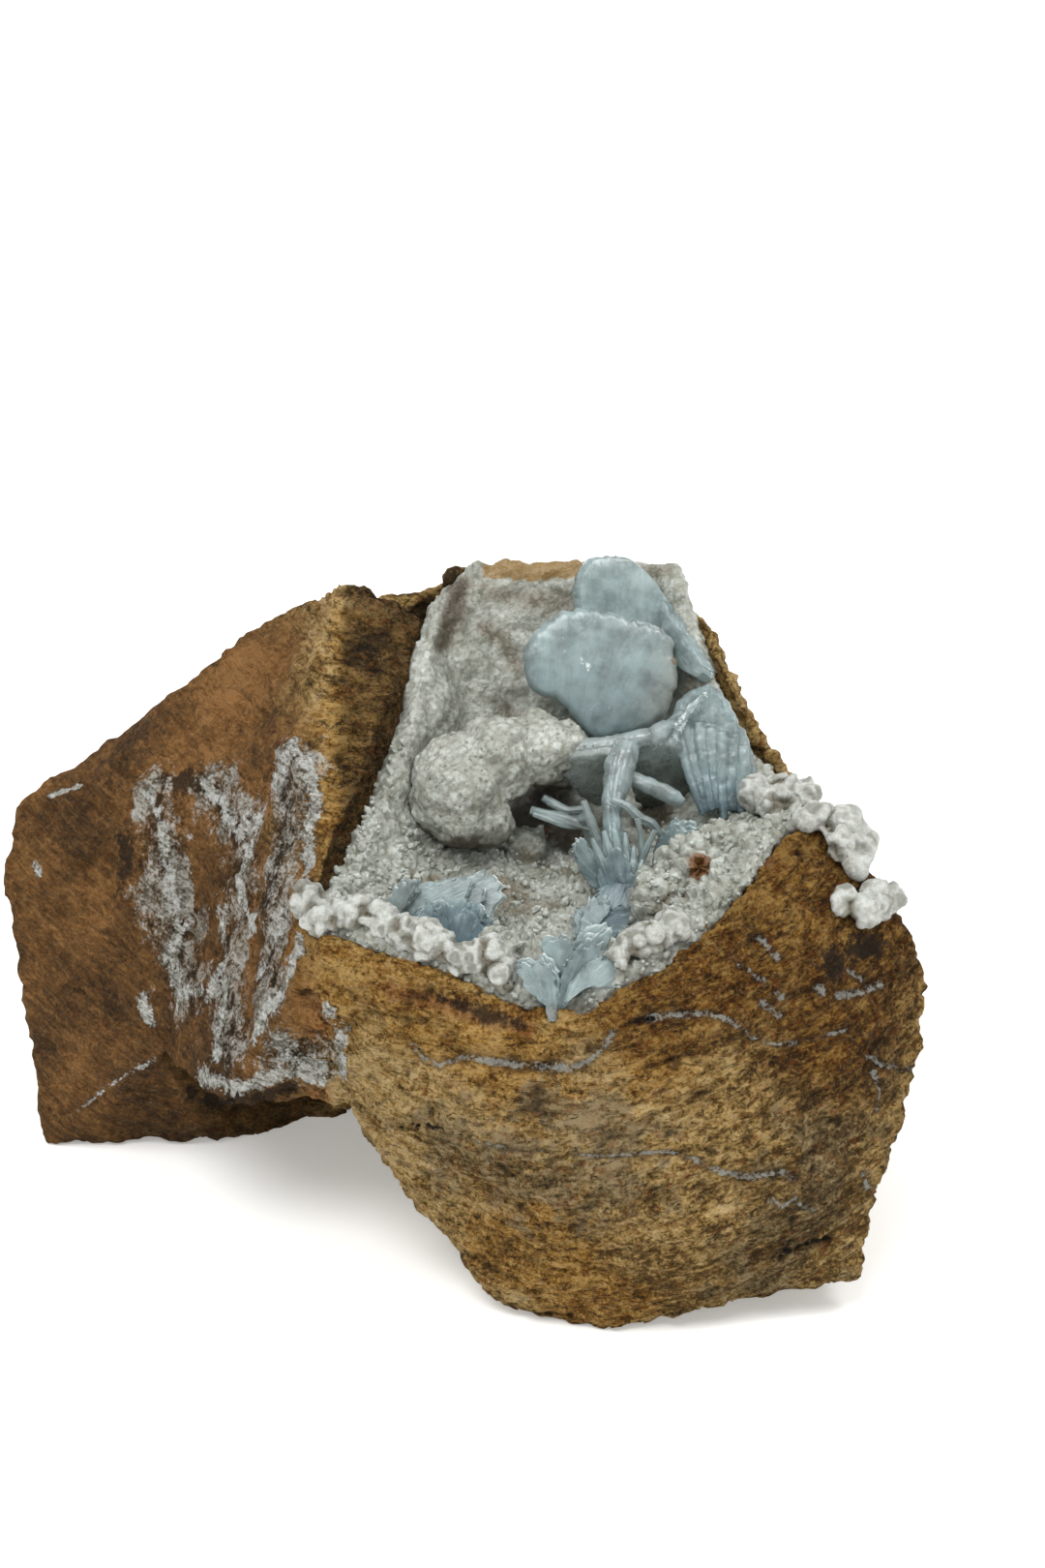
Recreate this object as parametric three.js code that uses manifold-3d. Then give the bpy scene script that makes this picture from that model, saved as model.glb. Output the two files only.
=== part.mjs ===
// Blue barite on an iron-stained matrix, a mineral specimen about 111 mm wide.
// The matrix is one broken block of brown rock. An open hollow in its top is lined with a sugary crust of
// small quartz crystals. Blades of pale blue barite grow on the crust, and round nodules sit along its rim.
// Millimetres, +Z up. The hollow opens to the front, which faces -Y, and the rock stands on Z = 0.
import * as THREE from "three";
import { ConvexGeometry } from "three/addons/geometries/ConvexGeometry.js";
import { ImprovedNoise } from "three/addons/math/ImprovedNoise.js";
import { TessellateModifier } from "three/addons/modifiers/TessellateModifier.js";
import { mergeVertices } from "three/addons/utils/BufferGeometryUtils.js";
import Module from "manifold-3d";

const wasm = await Module();
wasm.setup();

// Driving dimensions
const FIT_GAP = 0.3; // clear space between two pieces that touch
const ROCK_EDGE = 13; // longest triangle edge on the broken rock
const ROCK_EDGE_HALVINGS = 9; // the most an edge is halved to get there
const GROUND = { width: 200, depth: 40 }; // what lies under the specimen and is cut off it
const ROCK_SWELLS = [
  { length: 21, height: 1.3 },
  { length: 8.5, height: 1 },
];
const ROCK_SWELL_SHIFTS = [100, 200, 300]; // far apart in the noise, one for each way a corner moves
const CRUST_THICKNESS = 2.4;
const CRUST_SWELLS = [
  { length: 12, height: 1 },
  { length: 5, height: 0.7 },
];
const LUMP_UNEVENNESS = 0.22; // share of a lump's radius

// The broken rock, as the corners of blocks that are joined
const FRONT_BLOCK = [
  [4, -35.6, 0.8], [11, -36, 1], [17.6, -38.6, -0.4], [22.6, -35.6, 3.6], [34.5, -34.6, 5.4],
  [39.6, -35.4, 5], [44.8, -35.2, 4.6], [46.2, -31.5, 9], [-1, -12, -0.6], [-7.4, 6, -0.6],
  [-10.6, 16, -0.6], [30, 38, -0.6], [41, 20, 1], [44, 2, 2.5], [-2.8, -28.5, 9.2], [-6, -25, 13.6],
  [-12.6, -21.6, 18.4], [10, -41, 16], [26, -41.5, 14], [38, -38.5, 16], [49, -31, 18],
  [52.5, -22, 27], [53.8, -16, 34.5], [50.5, -9, 40], [49, 2, 15], [46.5, 9, 28], [43, 14, 34],
  [42, 24, 22], [38, 33, 10], [-18, -22.5, 38], [-16.5, -22.6, 42], [-4, -28.2, 42.2],
  [11, -31.5, 39.6], [22, -30, 40],
];
const RIGHT_PEAK = [
  [26, -41.5, 14], [38, -38.5, 16], [49, -31, 18], [52.5, -22, 27], [53.4, -16, 34.5],
  [50, -9, 41], [47, -11, 46.8], [43.5, -8, 50], [40.5, 1.5, 48.6], [34.6, -16, 51.6],
  [29, -24.5, 45.6], [22, -29.8, 40.4], [41, -25, 39], [40, 9, 44], [45, 7, 38], [28, 0, 38],
  [24, -20, 30],
];
const BACK_WALL = [
  [41, 2, 48.6], [32.8, 11.5, 53.6], [28.4, 20.5, 62.6], [25.2, 27.5, 69.6], [23.6, 28.4, 69],
  [11, 28.4, 69], [-2.6, 26.8, 69.6], [1, 35, 63.4], [20, 36, 64.5], [27.6, 30, 58],
  [34, 24, 45], [43, 12, 38], [45.6, 10, 31], [43, 20, 24], [40, 30, 18], [31, 39, -0.4],
  [0, 42, 4], [-6, 43, 20], [-12, 40, 38], [6, 42, 36], [10, 12, 30],
];
const LEFT_WING = [
  [-52.6, 6.2, -0.4], [-53.2, 7, 2], [-32.4, 6, -0.4], [-52.6, 8, 13], [-55.6, 12, 25],
  [-56.4, 14, 34], [-55.8, 15.5, 42.2], [-31.4, 22, 56.6], [-25.6, 22.5, 63.6], [-18.4, 22, 66.8],
  [-37, -0.4, 15.5], [-47, 4.6, 4], [-15.6, 14.4, -0.6], [-50, 33, -0.6], [-52, 33, 24],
  [-45, 36, 38], [-26, 37, 53], [-10, 38, 53], [-12, 41, 0.6], [-24, 6, 52],
];
const RIDGE = [
  [-14.6, 18, 70], [-17.4, 20.4, 67.2], [-10, 22, 66], [-7, 24, 64.4], [-20, -2, 57.6],
  [-15.2, -18, 45.4], [-18, -22.2, 38.6], [-24.4, -18.4, 25], [-28.6, -15.4, 17],
  [-14, -20.2, 19.6], [-37, -0.4, 15.5], [-33, 12, 45], [-9, -2, 50.4], [-12.6, -13, 46],
  [-5, 11, 60], [-4, 18, 64.6], [0, 30, 42], [0, 20, 20], [-12, 33, 60],
];
const SADDLE = [
  [-17, 23, 64.4], [-6.8, 24, 64], [-2.8, 28, 66.6], [1, 35, 63.2], [-14, 35, 59.4],
  [-20, 38, 50], [6, 41, 44], [-14, 40, -0.4], [29, 39, -0.4], [-6, 13, 1], [4, 16, 28],
  [-19, 13, 2], [-18, 14, 24],
];
const CORE = [
  [0, -6, 8], [38, -6, 8], [37, 24, 8], [26, 32, 10], [-4, 32, 10], [-12, -4, 28], [-12, 22, 28],
  [44, -4, 30], [44, 9, 30], [43.5, 8.5, 37.5], [41, 13.5, 36], [36, 20, 34], [-10, -4, 42],
  [40, -4, 42], [40, 8, 42], [35, 17, 42], [28, 26, 42], [0, 30, 42], [-10, 24, 42],
];

// Ledges, cracks and dips cut into the rock, as the corners of the wedges that are taken away
const BREAKS = {
  frontLedge: [
    [-10, -34, 36.6], [7, -40, 32.6], [24, -42, 30], [-10, -34, 35], [24, -42, 28.6],
    [6, -33, 31.4], [20, -35, 29.4],
  ],
  lowerLedge: [
    [-2, -44, 23.4], [30, -46, 20.4], [52, -40, 18.6], [-2, -44, 22], [52, -40, 17],
    [14, -37.4, 20.6], [40, -34.6, 18],
  ],
  cornerCrack: [
    [32, -42, 8.8], [48, -36, 12.4], [32, -42, 8], [48, -36, 11.2], [38, -32, 9.4],
    [43, -31, 10.4],
  ],
  underFoot: [
    [19, -46, -2], [21.4, -46, 2.2], [26, -46, 3.8], [39, -46, 4.2], [46, -46, -2],
    [25, -16, -2], [38, -16, -2],
  ],
  wingDip: [
    [-53, 2, 44.4], [-47, 2, 45.9], [-41.5, 2, 49.4], [-35.5, 2, 56], [-53, 34, 44.4],
    [-47, 34, 45.9], [-41.5, 34, 49.4], [-35.5, 34, 56], [-53, 2, 60], [-53, 34, 60],
  ],
};

// The hollow, as its rim and the foot of its walls, station by station from the front left
const HOLLOW_MIDDLE = [9, -5, 39.2];
const HOLLOW_STATIONS = [
  { rim: [-16.4, -20.6, 43.8], foot: [-9, -14, 42.2] },
  { rim: [-4, -26.5, 43], foot: [-2, -17, 39.6] },
  { rim: [3, -28.3, 40.8], foot: [3, -19, 38] },
  { rim: [11, -30.5, 37], foot: [10, -20, 36.5] },
  { rim: [20, -28, 41.2], foot: [17, -19, 38] },
  { rim: [29, -21.5, 46.3], foot: [22, -15, 40.5] },
  { rim: [34.5, -13.5, 51.6], foot: [26, -9, 43] },
  { rim: [40, 1, 49], foot: [29, 0, 43.5] },
  { rim: [32.2, 10.6, 54.6], foot: [27, 5, 45] },
  { rim: [27.8, 19.4, 63.8], foot: [24, 10, 46] },
  { rim: [24.4, 26, 70.4], foot: [17, 11, 43.5] },
  { rim: [12, 26.8, 69.2], foot: [10, 10, 41] },
  { rim: [-1.2, 25, 69.6], foot: [3, 9, 42] },
  { rim: [-3.5, 18, 64.8], foot: [0.5, 7, 44] },
  { rim: [-5, 11, 60], foot: [-1.5, 4.5, 45] },
  { rim: [-9, -2, 50.4], foot: [-4.5, -3, 42.7] },
  { rim: [-12.8, -13, 46], foot: [-7.5, -9, 42.2] },
];
const HOLLOW_STEPS_AROUND = 24;
const HOLLOW_STEPS_OUT = 4;
const OPENING = new THREE.Vector3(0, -0.47, 0.88).normalize(); // the way the hollow opens
const OPENING_REACH = 45;

// Round lumps, each as x, y, z and radius
const CRUST_LUMPS = [
  [23, -12.6, 42.4, 3.6], [27, -10.4, 44.2, 4.4], [31, -8.4, 45.8, 3.6], [7, 4.4, 41, 2.8],
  [4.4, -23, 40, 2.8],
];
const MOUND_PIT = [27.6, -13.4, 46.4, 1.4];
const KNOB_LUMPS = [
  [-0.5, 1.2, 49, 5.7], [-1, 2.8, 51.8, 4.8], [3, -0.4, 46.6, 3], [4, 4.2, 53.2, 5.1],
  [9, 6.2, 53.2, 4.6], [11.4, 11.4, 51, 4.6],
];
const FRONT_RIM_NODULES = [
  [-17.4, -18.8, 44.8, 2.2], [-16, -20.8, 43.8, 2.3], [-13.8, -21.6, 44.4, 2.4],
  [-11.4, -22.4, 44.8, 2.4], [-9, -23.4, 44.4, 2.4], [-6.4, -25, 43.8, 2.3],
  [-4, -26.2, 43.4, 2.5], [-1.6, -27, 42.8, 2.2], [0.4, -27.8, 41.6, 2.4], [3, -27.8, 42, 2.6],
  [4.6, -28.6, 40.2, 2.3],
];
const RIGHT_RIM_NODULES = [
  [18, -27.8, 41.4, 1.9], [19.6, -27, 42.8, 2.1], [21.6, -26.2, 43.8, 2.1], [23.8, -24.8, 44.6, 2],
];
const BACK_RIM_NODULES = [
  [35, 1.2, 49.8, 2.7], [37.8, 1.6, 49.8, 2.6], [40.4, 1.4, 49.2, 2.3], [37, -1.6, 49.2, 2.4],
];
const UPPER_OUTER_NODULES = [
  [39.4, -10.4, 50.6, 2], [41.6, -10, 50.8, 2.4], [44.2, -9.8, 50.2, 2.5],
  [45.8, -10.8, 48.2, 2.4], [43.4, -12.4, 48.8, 2.4], [45.4, -13, 46.6, 2.4],
];
const LOWER_OUTER_NODULES = [
  [43.8, -18, 44, 2.1], [46, -17.4, 43, 2.4], [47.8, -15.2, 43.2, 2.4], [49.2, -13.4, 42.2, 2.3],
];

// Barite. A disc has a centre, the way its face looks, a radius and a thickness. A blade runs from
// its root to its tip with its flat side facing the given way. A rod runs through its points, each
// given as x, y, z and radius.
const ROSETTE_DISCS = [
  { centre: [16.2, 15.8, 60.2], face: [0.05, -0.9, 0.44], radius: 9.6, thickness: 5 },
  { centre: [20.6, 20.6, 63.2], face: [0.3, -0.82, 0.48], radius: 8.6, thickness: 3.4 },
];
const ROSETTE_BLADES = [
  { root: [28.2, 15, 58.8], tip: [22, 23, 67.4], face: [-0.6, -0.65, 0.44], width: 5.4, thickness: 2.8 },
];
const CURTAIN_BLADES = [
  { root: [30.4, 1.4, 46.8], tip: [26, 7.8, 58.4], face: [-0.5, -0.85, 0.2], width: 4, thickness: 1.7 },
  { root: [31.4, 1, 46.4], tip: [28.8, 10, 60.4], face: [-0.1, -0.95, 0.3], width: 4.6, thickness: 2 },
  { root: [32.6, 1.4, 47.6], tip: [31.8, 10, 59.6], face: [0.2, -0.95, 0.2], width: 4.6, thickness: 1.9 },
  { root: [33.4, 2, 48.6], tip: [33.6, 8, 56.4], face: [0.5, -0.85, 0.15], width: 3.6, thickness: 1.7 },
  { root: [32.6, 4.4, 48], tip: [28.6, 11.4, 60], face: [-0.1, -0.9, 0.4], width: 7, thickness: 2 },
];
const ARCH_RODS = [
  [
    [11, 4.6, 52.6, 2.8], [15.4, 3.6, 54.2, 2], [19, 3.6, 54.8, 1.8], [22, 4.8, 56, 1.6],
    [26.4, 7, 56.6, 1.8],
  ],
  [
    [19, 3.4, 54.8, 1.4], [18.2, 0.4, 52.2, 1.5], [17.6, -3, 49.6, 1.1], [17.6, -7, 46.6, 1.2],
    [19.4, -10, 41.4, 2.3],
  ],
  [[18.4, 2.6, 51.4, 1], [21.8, 1.2, 50.8, 1.4], [25.6, -0.2, 49.4, 1.4]],
  [[18, -4, 50.8, 0.7], [20.6, -5, 49.8, 0.7], [22.6, -5.8, 47.4, 0.6]],
];
const ARCH_WEBS = [
  { root: [13.6, 5.6, 54.4], tip: [15.4, 6.6, 46.4], face: [-0.2, -0.95, 0.1], width: 5.6, thickness: 1.2 },
  { root: [23, 6.6, 56.4], tip: [25.4, 7.6, 44.6], face: [0.15, -0.95, 0.1], width: 9, thickness: 1.4 },
];
const SPRAY_BLADES = [
  { root: [18.6, -9.6, 40.6], tip: [12.6, -7.8, 48], face: [0.1, -0.95, 0.2], width: 3.4, thickness: 1.1 },
  { root: [19, -9.8, 40.8], tip: [14.6, -5.6, 51.2], face: [-0.4, -0.85, 0.2], width: 2, thickness: 1.1 },
  { root: [20.2, -9.6, 40.8], tip: [21.6, -5.8, 48.6], face: [0.3, -0.9, 0.2], width: 2, thickness: 1.1 },
  { root: [20.6, -9.4, 40.6], tip: [23.4, -6.6, 45.4], face: [0.1, -0.8, 0.5], width: 2.2, thickness: 1.1 },
  { root: [18.4, -10.4, 40.2], tip: [14.6, -9.8, 43.8], face: [0.1, -0.85, 0.5], width: 3, thickness: 1.1 },
];
const ARCH_BLADES = [...ARCH_WEBS, ...SPRAY_BLADES, ...CURTAIN_BLADES];
const MIDDLE_BLADES = [
  { root: [17.2, -14, 37.8], tip: [12.2, -14.8, 42.2], face: [0.2, -0.8, 0.6], width: 4.4, thickness: 1.2 },
  { root: [17.6, -13.6, 38], tip: [15.6, -13.8, 43.6], face: [-0.3, -0.85, 0.4], width: 4, thickness: 1.1 },
  { root: [17.8, -13.4, 38], tip: [21.6, -12.6, 42.6], face: [0.2, -0.9, 0.3], width: 3.8, thickness: 1.2 },
];
const GAP_BLADES = [
  { root: [15, 0.6, 45.6], tip: [8, 2.4, 47], face: [0, -0.5, 0.87], width: 1.6, thickness: 0.9 },
  { root: [15.4, 2.6, 45], tip: [9.4, 3.2, 48.4], face: [0, -0.4, 0.9], width: 1.6, thickness: 0.9 },
  { root: [16, 2.4, 41.6], tip: [14.2, 0.6, 47], face: [-0.7, -0.6, 0.2], width: 2.4, thickness: 1.2 },
];
const FRONT_FAN_BLADES = [
  { root: [10.2, -33, 36.2], tip: [6.8, -27.8, 44], face: [-0.35, -0.9, 0.2], width: 5.4, thickness: 1.6 },
  { root: [10.4, -33, 36.2], tip: [11.2, -27, 44.4], face: [0.1, -0.9, 0.35], width: 4.6, thickness: 1.8 },
  { root: [10.6, -33, 36.2], tip: [17, -24.6, 45.4], face: [0.3, -0.8, 0.3], width: 5, thickness: 1.8 },
  { root: [10.6, -33, 36.4], tip: [20.2, -27, 41.6], face: [0.4, -0.8, 0.5], width: 4.6, thickness: 1.8 },
];
const LEFT_CLUSTER_BLADES = [
  { root: [-5.6, -19, 40.6], tip: [-7.6, -16.4, 46.2], face: [0.2, -0.9, 0.2], width: 3.8, thickness: 1.6 },
  { root: [-2.6, -17.6, 40.4], tip: [-2.4, -15.4, 46.8], face: [-0.2, -0.8, 0.5], width: 7.6, thickness: 2 },
  { root: [1, -17.6, 40], tip: [2.2, -14.4, 47.6], face: [0.2, -0.9, 0.35], width: 6, thickness: 1.9 },
  { root: [-2.4, -21.4, 40], tip: [-1.8, -18.4, 45.8], face: [-0.2, -0.8, 0.5], width: 8.4, thickness: 2.2 },
  { root: [1.8, -20.4, 39.6], tip: [3.2, -17.6, 44], face: [0.45, -0.8, 0.4], width: 4.6, thickness: 1.8 },
];
const MOUND_BLADES = [
  { root: [25, -6.2, 43.4], tip: [23.4, -6.6, 49.8], face: [-0.4, -0.9, 0.1], width: 3.4, thickness: 1.3 },
  { root: [25.4, -6.2, 43.6], tip: [26.2, -6.2, 49.2], face: [-0.2, -0.9, 0.1], width: 3.8, thickness: 1.4 },
];

const MATERIALS = {
  rock: new THREE.MeshStandardMaterial({ color: 0x75512b, roughness: 0.85, metalness: 0 }),
  quartz: new THREE.MeshStandardMaterial({ color: 0xb0ada4, roughness: 0.4, metalness: 0 }),
  nodule: new THREE.MeshStandardMaterial({ color: 0xcccac2, roughness: 0.6, metalness: 0 }),
  barite: new THREE.MeshStandardMaterial({ color: 0xa3b7c3, roughness: 0.25, metalness: 0 }),
};

// Solids from geometries and back
function solidOf(geometry) {
  const bare = new THREE.BufferGeometry();
  bare.setAttribute("position", geometry.getAttribute("position"));
  bare.setIndex(geometry.index);
  const merged = mergeVertices(bare, 1e-4);
  return new wasm.Manifold(
    new wasm.Mesh({
      numProp: 3,
      vertProperties: new Float32Array(merged.attributes.position.array),
      triVerts: new Uint32Array(merged.index.array),
    }),
  );
}

function geometryOf(solid) {
  const mesh = solid.getMesh();
  const geometry = new THREE.BufferGeometry();
  geometry.setAttribute("position", new THREE.BufferAttribute(mesh.vertProperties, 3));
  geometry.setIndex(new THREE.BufferAttribute(mesh.triVerts, 1));
  geometry.computeVertexNormals();
  return geometry;
}

const joined = (solids) => solids.reduce((whole, next) => whole.add(next));

// A cut can leave loose crumbs. The piece is the largest body.
const largestBody = (solid) =>
  solid.decompose().reduce((best, next) => (next.volume() > best.volume() ? next : best));

const vectors = (corners) => corners.map((corner) => new THREE.Vector3(...corner));

const block = (corners) => solidOf(new ConvexGeometry(vectors(corners)));

// Unevenness
const noise = new ImprovedNoise();

function swell(x, y, z, swells) {
  const height = (one) => one.height * noise.noise(x / one.length, y / one.length, z / one.length);
  return swells.reduce((sum, one) => sum + height(one), 0);
}

// The broken rock: its blocks joined, its faces divided and every corner moved a little, then the breaks
function brokenRock() {
  const corners = [FRONT_BLOCK, RIGHT_PEAK, BACK_WALL, LEFT_WING, RIDGE, SADDLE, CORE];
  const blocks = joined(corners.map(block));
  const divided = new TessellateModifier(ROCK_EDGE, ROCK_EDGE_HALVINGS).modify(geometryOf(blocks));
  const bare = new THREE.BufferGeometry().setAttribute("position", divided.getAttribute("position"));
  const surface = mergeVertices(bare, 1e-3);
  const place = surface.getAttribute("position");
  const [shiftX, shiftY, shiftZ] = ROCK_SWELL_SHIFTS;
  for (let i = 0; i < place.count; i += 1) {
    const [x, y, z] = [place.getX(i), place.getY(i), place.getZ(i)];
    place.setXYZ(
      i,
      x + swell(x + shiftX, y, z, ROCK_SWELLS),
      y + swell(x, y + shiftY, z, ROCK_SWELLS),
      z + swell(x, y, z + shiftZ, ROCK_SWELLS),
    );
  }
  const { width, depth } = GROUND;
  const ground = solidOf(new THREE.BoxGeometry(width, width, depth).translate(0, 0, -depth / 2));
  return solidOf(surface).subtract(joined([ground, ...Object.values(BREAKS).map(block)]));
}

// The hollow's floor and walls as one sheet: rings of points from its middle out to its rim. The
// sheet lies at a level above or below the bare surface, and its rim can be spread a little further.
function hollowSheet(level, spread) {
  const middle = new THREE.Vector3(...HOLLOW_MIDDLE);
  const ringThrough = (key) => {
    const corners = vectors(HOLLOW_STATIONS.map((station) => station[key]));
    const ring = new THREE.CatmullRomCurve3(corners, true, "centripetal");
    return ring.getSpacedPoints(HOLLOW_STEPS_AROUND).slice(1);
  };
  const foot = ringThrough("foot");
  const rim = ringThrough("rim");
  const sections = rim.map((edge, i) => new THREE.CatmullRomCurve3([middle, foot[i], edge]));
  const points = [middle];
  for (let out = 1; out <= HOLLOW_STEPS_OUT; out += 1) {
    points.push(...sections.map((section) => section.getPoint(out / HOLLOW_STEPS_OUT)));
  }
  const uneven = points.map((p) => p.clone().addScaledVector(OPENING, swell(...p, CRUST_SWELLS)));
  const surface = new THREE.BufferGeometry().setFromPoints(uneven).setIndex(hollowFaces());
  surface.computeVertexNormals();
  const normals = surface.getAttribute("normal");
  uneven.forEach((point, i) => {
    point.addScaledVector(new THREE.Vector3().fromBufferAttribute(normals, i), level);
  });
  sections.forEach((section, around) => {
    uneven.at(around - HOLLOW_STEPS_AROUND).addScaledVector(section.getTangent(1), spread);
  });
  return uneven;
}

// The number of a point on the sheet, and the triangles between the points
const sheetPoint = (out, around) => 1 + (out - 1) * HOLLOW_STEPS_AROUND + (around % HOLLOW_STEPS_AROUND);

function hollowFaces() {
  const faces = [];
  for (let around = 0; around < HOLLOW_STEPS_AROUND; around += 1) {
    faces.push(0, sheetPoint(1, around), sheetPoint(1, around + 1));
    for (let out = 1; out < HOLLOW_STEPS_OUT; out += 1) {
      const [a, b] = [sheetPoint(out, around), sheetPoint(out, around + 1)];
      const [c, d] = [sheetPoint(out + 1, around), sheetPoint(out + 1, around + 1)];
      faces.push(a, c, d, a, d, b);
    }
  }
  return faces;
}

// The solid between a low and a high sheet
function slab(low, high) {
  const count = high.length;
  const top = hollowFaces();
  const bottom = hollowFaces().reverse().map((number) => number + count);
  const side = [];
  for (let around = 0; around < HOLLOW_STEPS_AROUND; around += 1) {
    const a = sheetPoint(HOLLOW_STEPS_OUT, around);
    const b = sheetPoint(HOLLOW_STEPS_OUT, around + 1);
    side.push(a, a + count, b, b, a + count, b + count);
  }
  const geometry = new THREE.BufferGeometry().setFromPoints([...high, ...low]);
  return solidOf(geometry.setIndex([...top, ...bottom, ...side]));
}

// The hollow's space from a level below its surface up through its opening
function hollowSpace(level, spread) {
  const low = hollowSheet(level, spread);
  const reach = OPENING.clone().multiplyScalar(OPENING_REACH);
  return slab(low, low.map((point) => point.clone().add(reach)));
}

function lump([x, y, z, radius], shape, grow) {
  const ball = shape.clone().rotateX(x).rotateY(y); // turned by its own place, so no two are alike
  const place = ball.getAttribute("position");
  for (let i = 0; i < place.count; i += 1) {
    const [dx, dy, dz] = [place.getX(i), place.getY(i), place.getZ(i)];
    const reach = radius * (1 + LUMP_UNEVENNESS * noise.noise(dx + x, dy + y, dz + z)) + grow;
    place.setXYZ(i, x + dx * reach, y + dy * reach, z + dz * reach);
  }
  return solidOf(ball);
}

const BALL = new THREE.IcosahedronGeometry(1, 1);
const SMALL_BALL = new THREE.IcosahedronGeometry(1, 0);
const lumps = (list, shape) => (grow) => joined(list.map((one) => lump(one, shape, grow)));
const nodules = (list) => lumps(list, SMALL_BALL);

// Crystals
// A blade's outline up one side, as shares of its length and of its width. Both flat sides are bevelled.
const BLADE_OUTLINE = [
  [0, 0.5],
  [0.62, 1],
  [1, 0.45],
];
const BEVEL_SHARE = 0.8;

function blade({ root, tip, face, width, thickness }, grow) {
  const start = new THREE.Vector3(...root);
  const along = new THREE.Vector3(...tip).sub(start);
  const length = along.length();
  along.normalize();
  const across = new THREE.Vector3().crossVectors(new THREE.Vector3(...face), along).normalize();
  const out = new THREE.Vector3().crossVectors(along, across);
  const corner = (share, spread, level) =>
    start
      .clone()
      .addScaledVector(along, share * length + grow * Math.sign(share - 0.5))
      .addScaledVector(across, (spread * width) / 2 + grow * Math.sign(spread))
      .addScaledVector(out, level * (thickness / 2 + grow));
  const corners = [];
  for (const [share, halfWidth] of BLADE_OUTLINE) {
    const faceShare = 0.5 + (share - 0.5) * BEVEL_SHARE;
    for (const spread of [halfWidth, -halfWidth]) {
      corners.push(corner(share, spread, 0));
      corners.push(corner(faceShare, spread * BEVEL_SHARE, 1));
      corners.push(corner(faceShare, spread * BEVEL_SHARE, -1));
    }
  }
  return solidOf(new ConvexGeometry(corners));
}

// A disc's cross-section from its back to its front, as shares of its radius and of half its thickness
const DISC_PROFILE = [
  [0, -1],
  [0.66, -0.86],
  [1, 0],
  [0.66, 0.86],
  [0, 1],
];
const DISC_SIDES = 16;

function disc({ centre, face, radius, thickness }, grow) {
  const half = thickness / 2 + grow;
  const reach = radius + grow;
  const profile = DISC_PROFILE.map(([share, level]) => new THREE.Vector2(share * reach, level * half));
  const turned = new THREE.LatheGeometry(profile, DISC_SIDES);
  const towards = new THREE.Vector3(...face).normalize();
  turned.applyQuaternion(new THREE.Quaternion().setFromUnitVectors(new THREE.Vector3(0, 1, 0), towards));
  return solidOf(turned.translate(...centre));
}

// A bent rod is a row of straight links. Each link is the block between two cross-sections.
const ROD_SIDES = 5;

function rod(points, grow) {
  const places = points.map(([x, y, z]) => new THREE.Vector3(x, y, z));
  const sections = points.map(([, , , radius], i) => {
    const before = places[Math.max(i - 1, 0)];
    const after = places[Math.min(i + 1, places.length - 1)];
    const direction = after.clone().sub(before).normalize();
    const across = new THREE.Vector3().crossVectors(direction, OPENING).normalize();
    const out = new THREE.Vector3().crossVectors(direction, across);
    return Array.from({ length: ROD_SIDES }, (_, side) => {
      const turn = (2 * Math.PI * side) / ROD_SIDES;
      return places[i]
        .clone()
        .addScaledVector(across, Math.cos(turn) * (radius + grow))
        .addScaledVector(out, Math.sin(turn) * (radius + grow));
    });
  });
  const links = sections.slice(1).map((section, i) => new ConvexGeometry([...sections[i], ...section]));
  return joined(links.map(solidOf));
}

const blades = (list) => (grow) => joined(list.map((one) => blade(one, grow)));
const discs = (list) => (grow) => joined(list.map((one) => disc(one, grow)));
const rods = (list) => (grow) => joined(list.map((one) => rod(one, grow)));

// The crust lines the hollow. Its lumps end at its underside.
function quartzCrust(grow) {
  const underside = -CRUST_THICKNESS - grow;
  const lining = slab(hollowSheet(underside, grow), hollowSheet(grow, grow));
  const raised = lumps(CRUST_LUMPS, BALL)(grow).intersect(hollowSpace(underside, grow));
  return lining.add(raised).subtract(lump(MOUND_PIT, SMALL_BALL, -grow));
}

// The matrix is what the rock leaves below the crust and beside the hollow's open space.
const matrix = () => brokenRock().subtract(hollowSpace(-CRUST_THICKNESS - FIT_GAP, FIT_GAP));

const bariteArch = (grow) => rods(ARCH_RODS)(grow).add(blades(ARCH_BLADES)(grow));
const bariteRosette = (grow) => discs(ROSETTE_DISCS)(grow).add(blades(ROSETTE_BLADES)(grow));

// The pieces. Each one keeps the shape it is made with, less the room taken by those named before it.
const MATRIX_PIECE = { name: "matrix", material: "rock", make: matrix };
const PIECES = [
  { name: "quartz_crust", material: "quartz", make: quartzCrust },
  MATRIX_PIECE,
  { name: "barite_arch", material: "barite", make: bariteArch },
  { name: "barite_front_fan", material: "barite", make: blades(FRONT_FAN_BLADES) },
  { name: "barite_left_cluster", material: "barite", make: blades(LEFT_CLUSTER_BLADES) },
  { name: "barite_middle_cluster", material: "barite", make: blades(MIDDLE_BLADES) },
  { name: "barite_rosette", material: "barite", make: bariteRosette },
  { name: "barite_gap_blades", material: "barite", make: blades(GAP_BLADES) },
  { name: "barite_mound_blades", material: "barite", make: blades(MOUND_BLADES) },
  { name: "quartz_knob", material: "quartz", make: lumps(KNOB_LUMPS, BALL) },
  { name: "front_rim_nodules", material: "nodule", make: nodules(FRONT_RIM_NODULES) },
  { name: "right_rim_nodules", material: "nodule", make: nodules(RIGHT_RIM_NODULES) },
  { name: "back_rim_nodules", material: "nodule", make: nodules(BACK_RIM_NODULES) },
  { name: "upper_outer_nodules", material: "nodule", make: nodules(UPPER_OUTER_NODULES) },
  { name: "lower_outer_nodules", material: "nodule", make: nodules(LOWER_OUTER_NODULES) },
];

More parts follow.
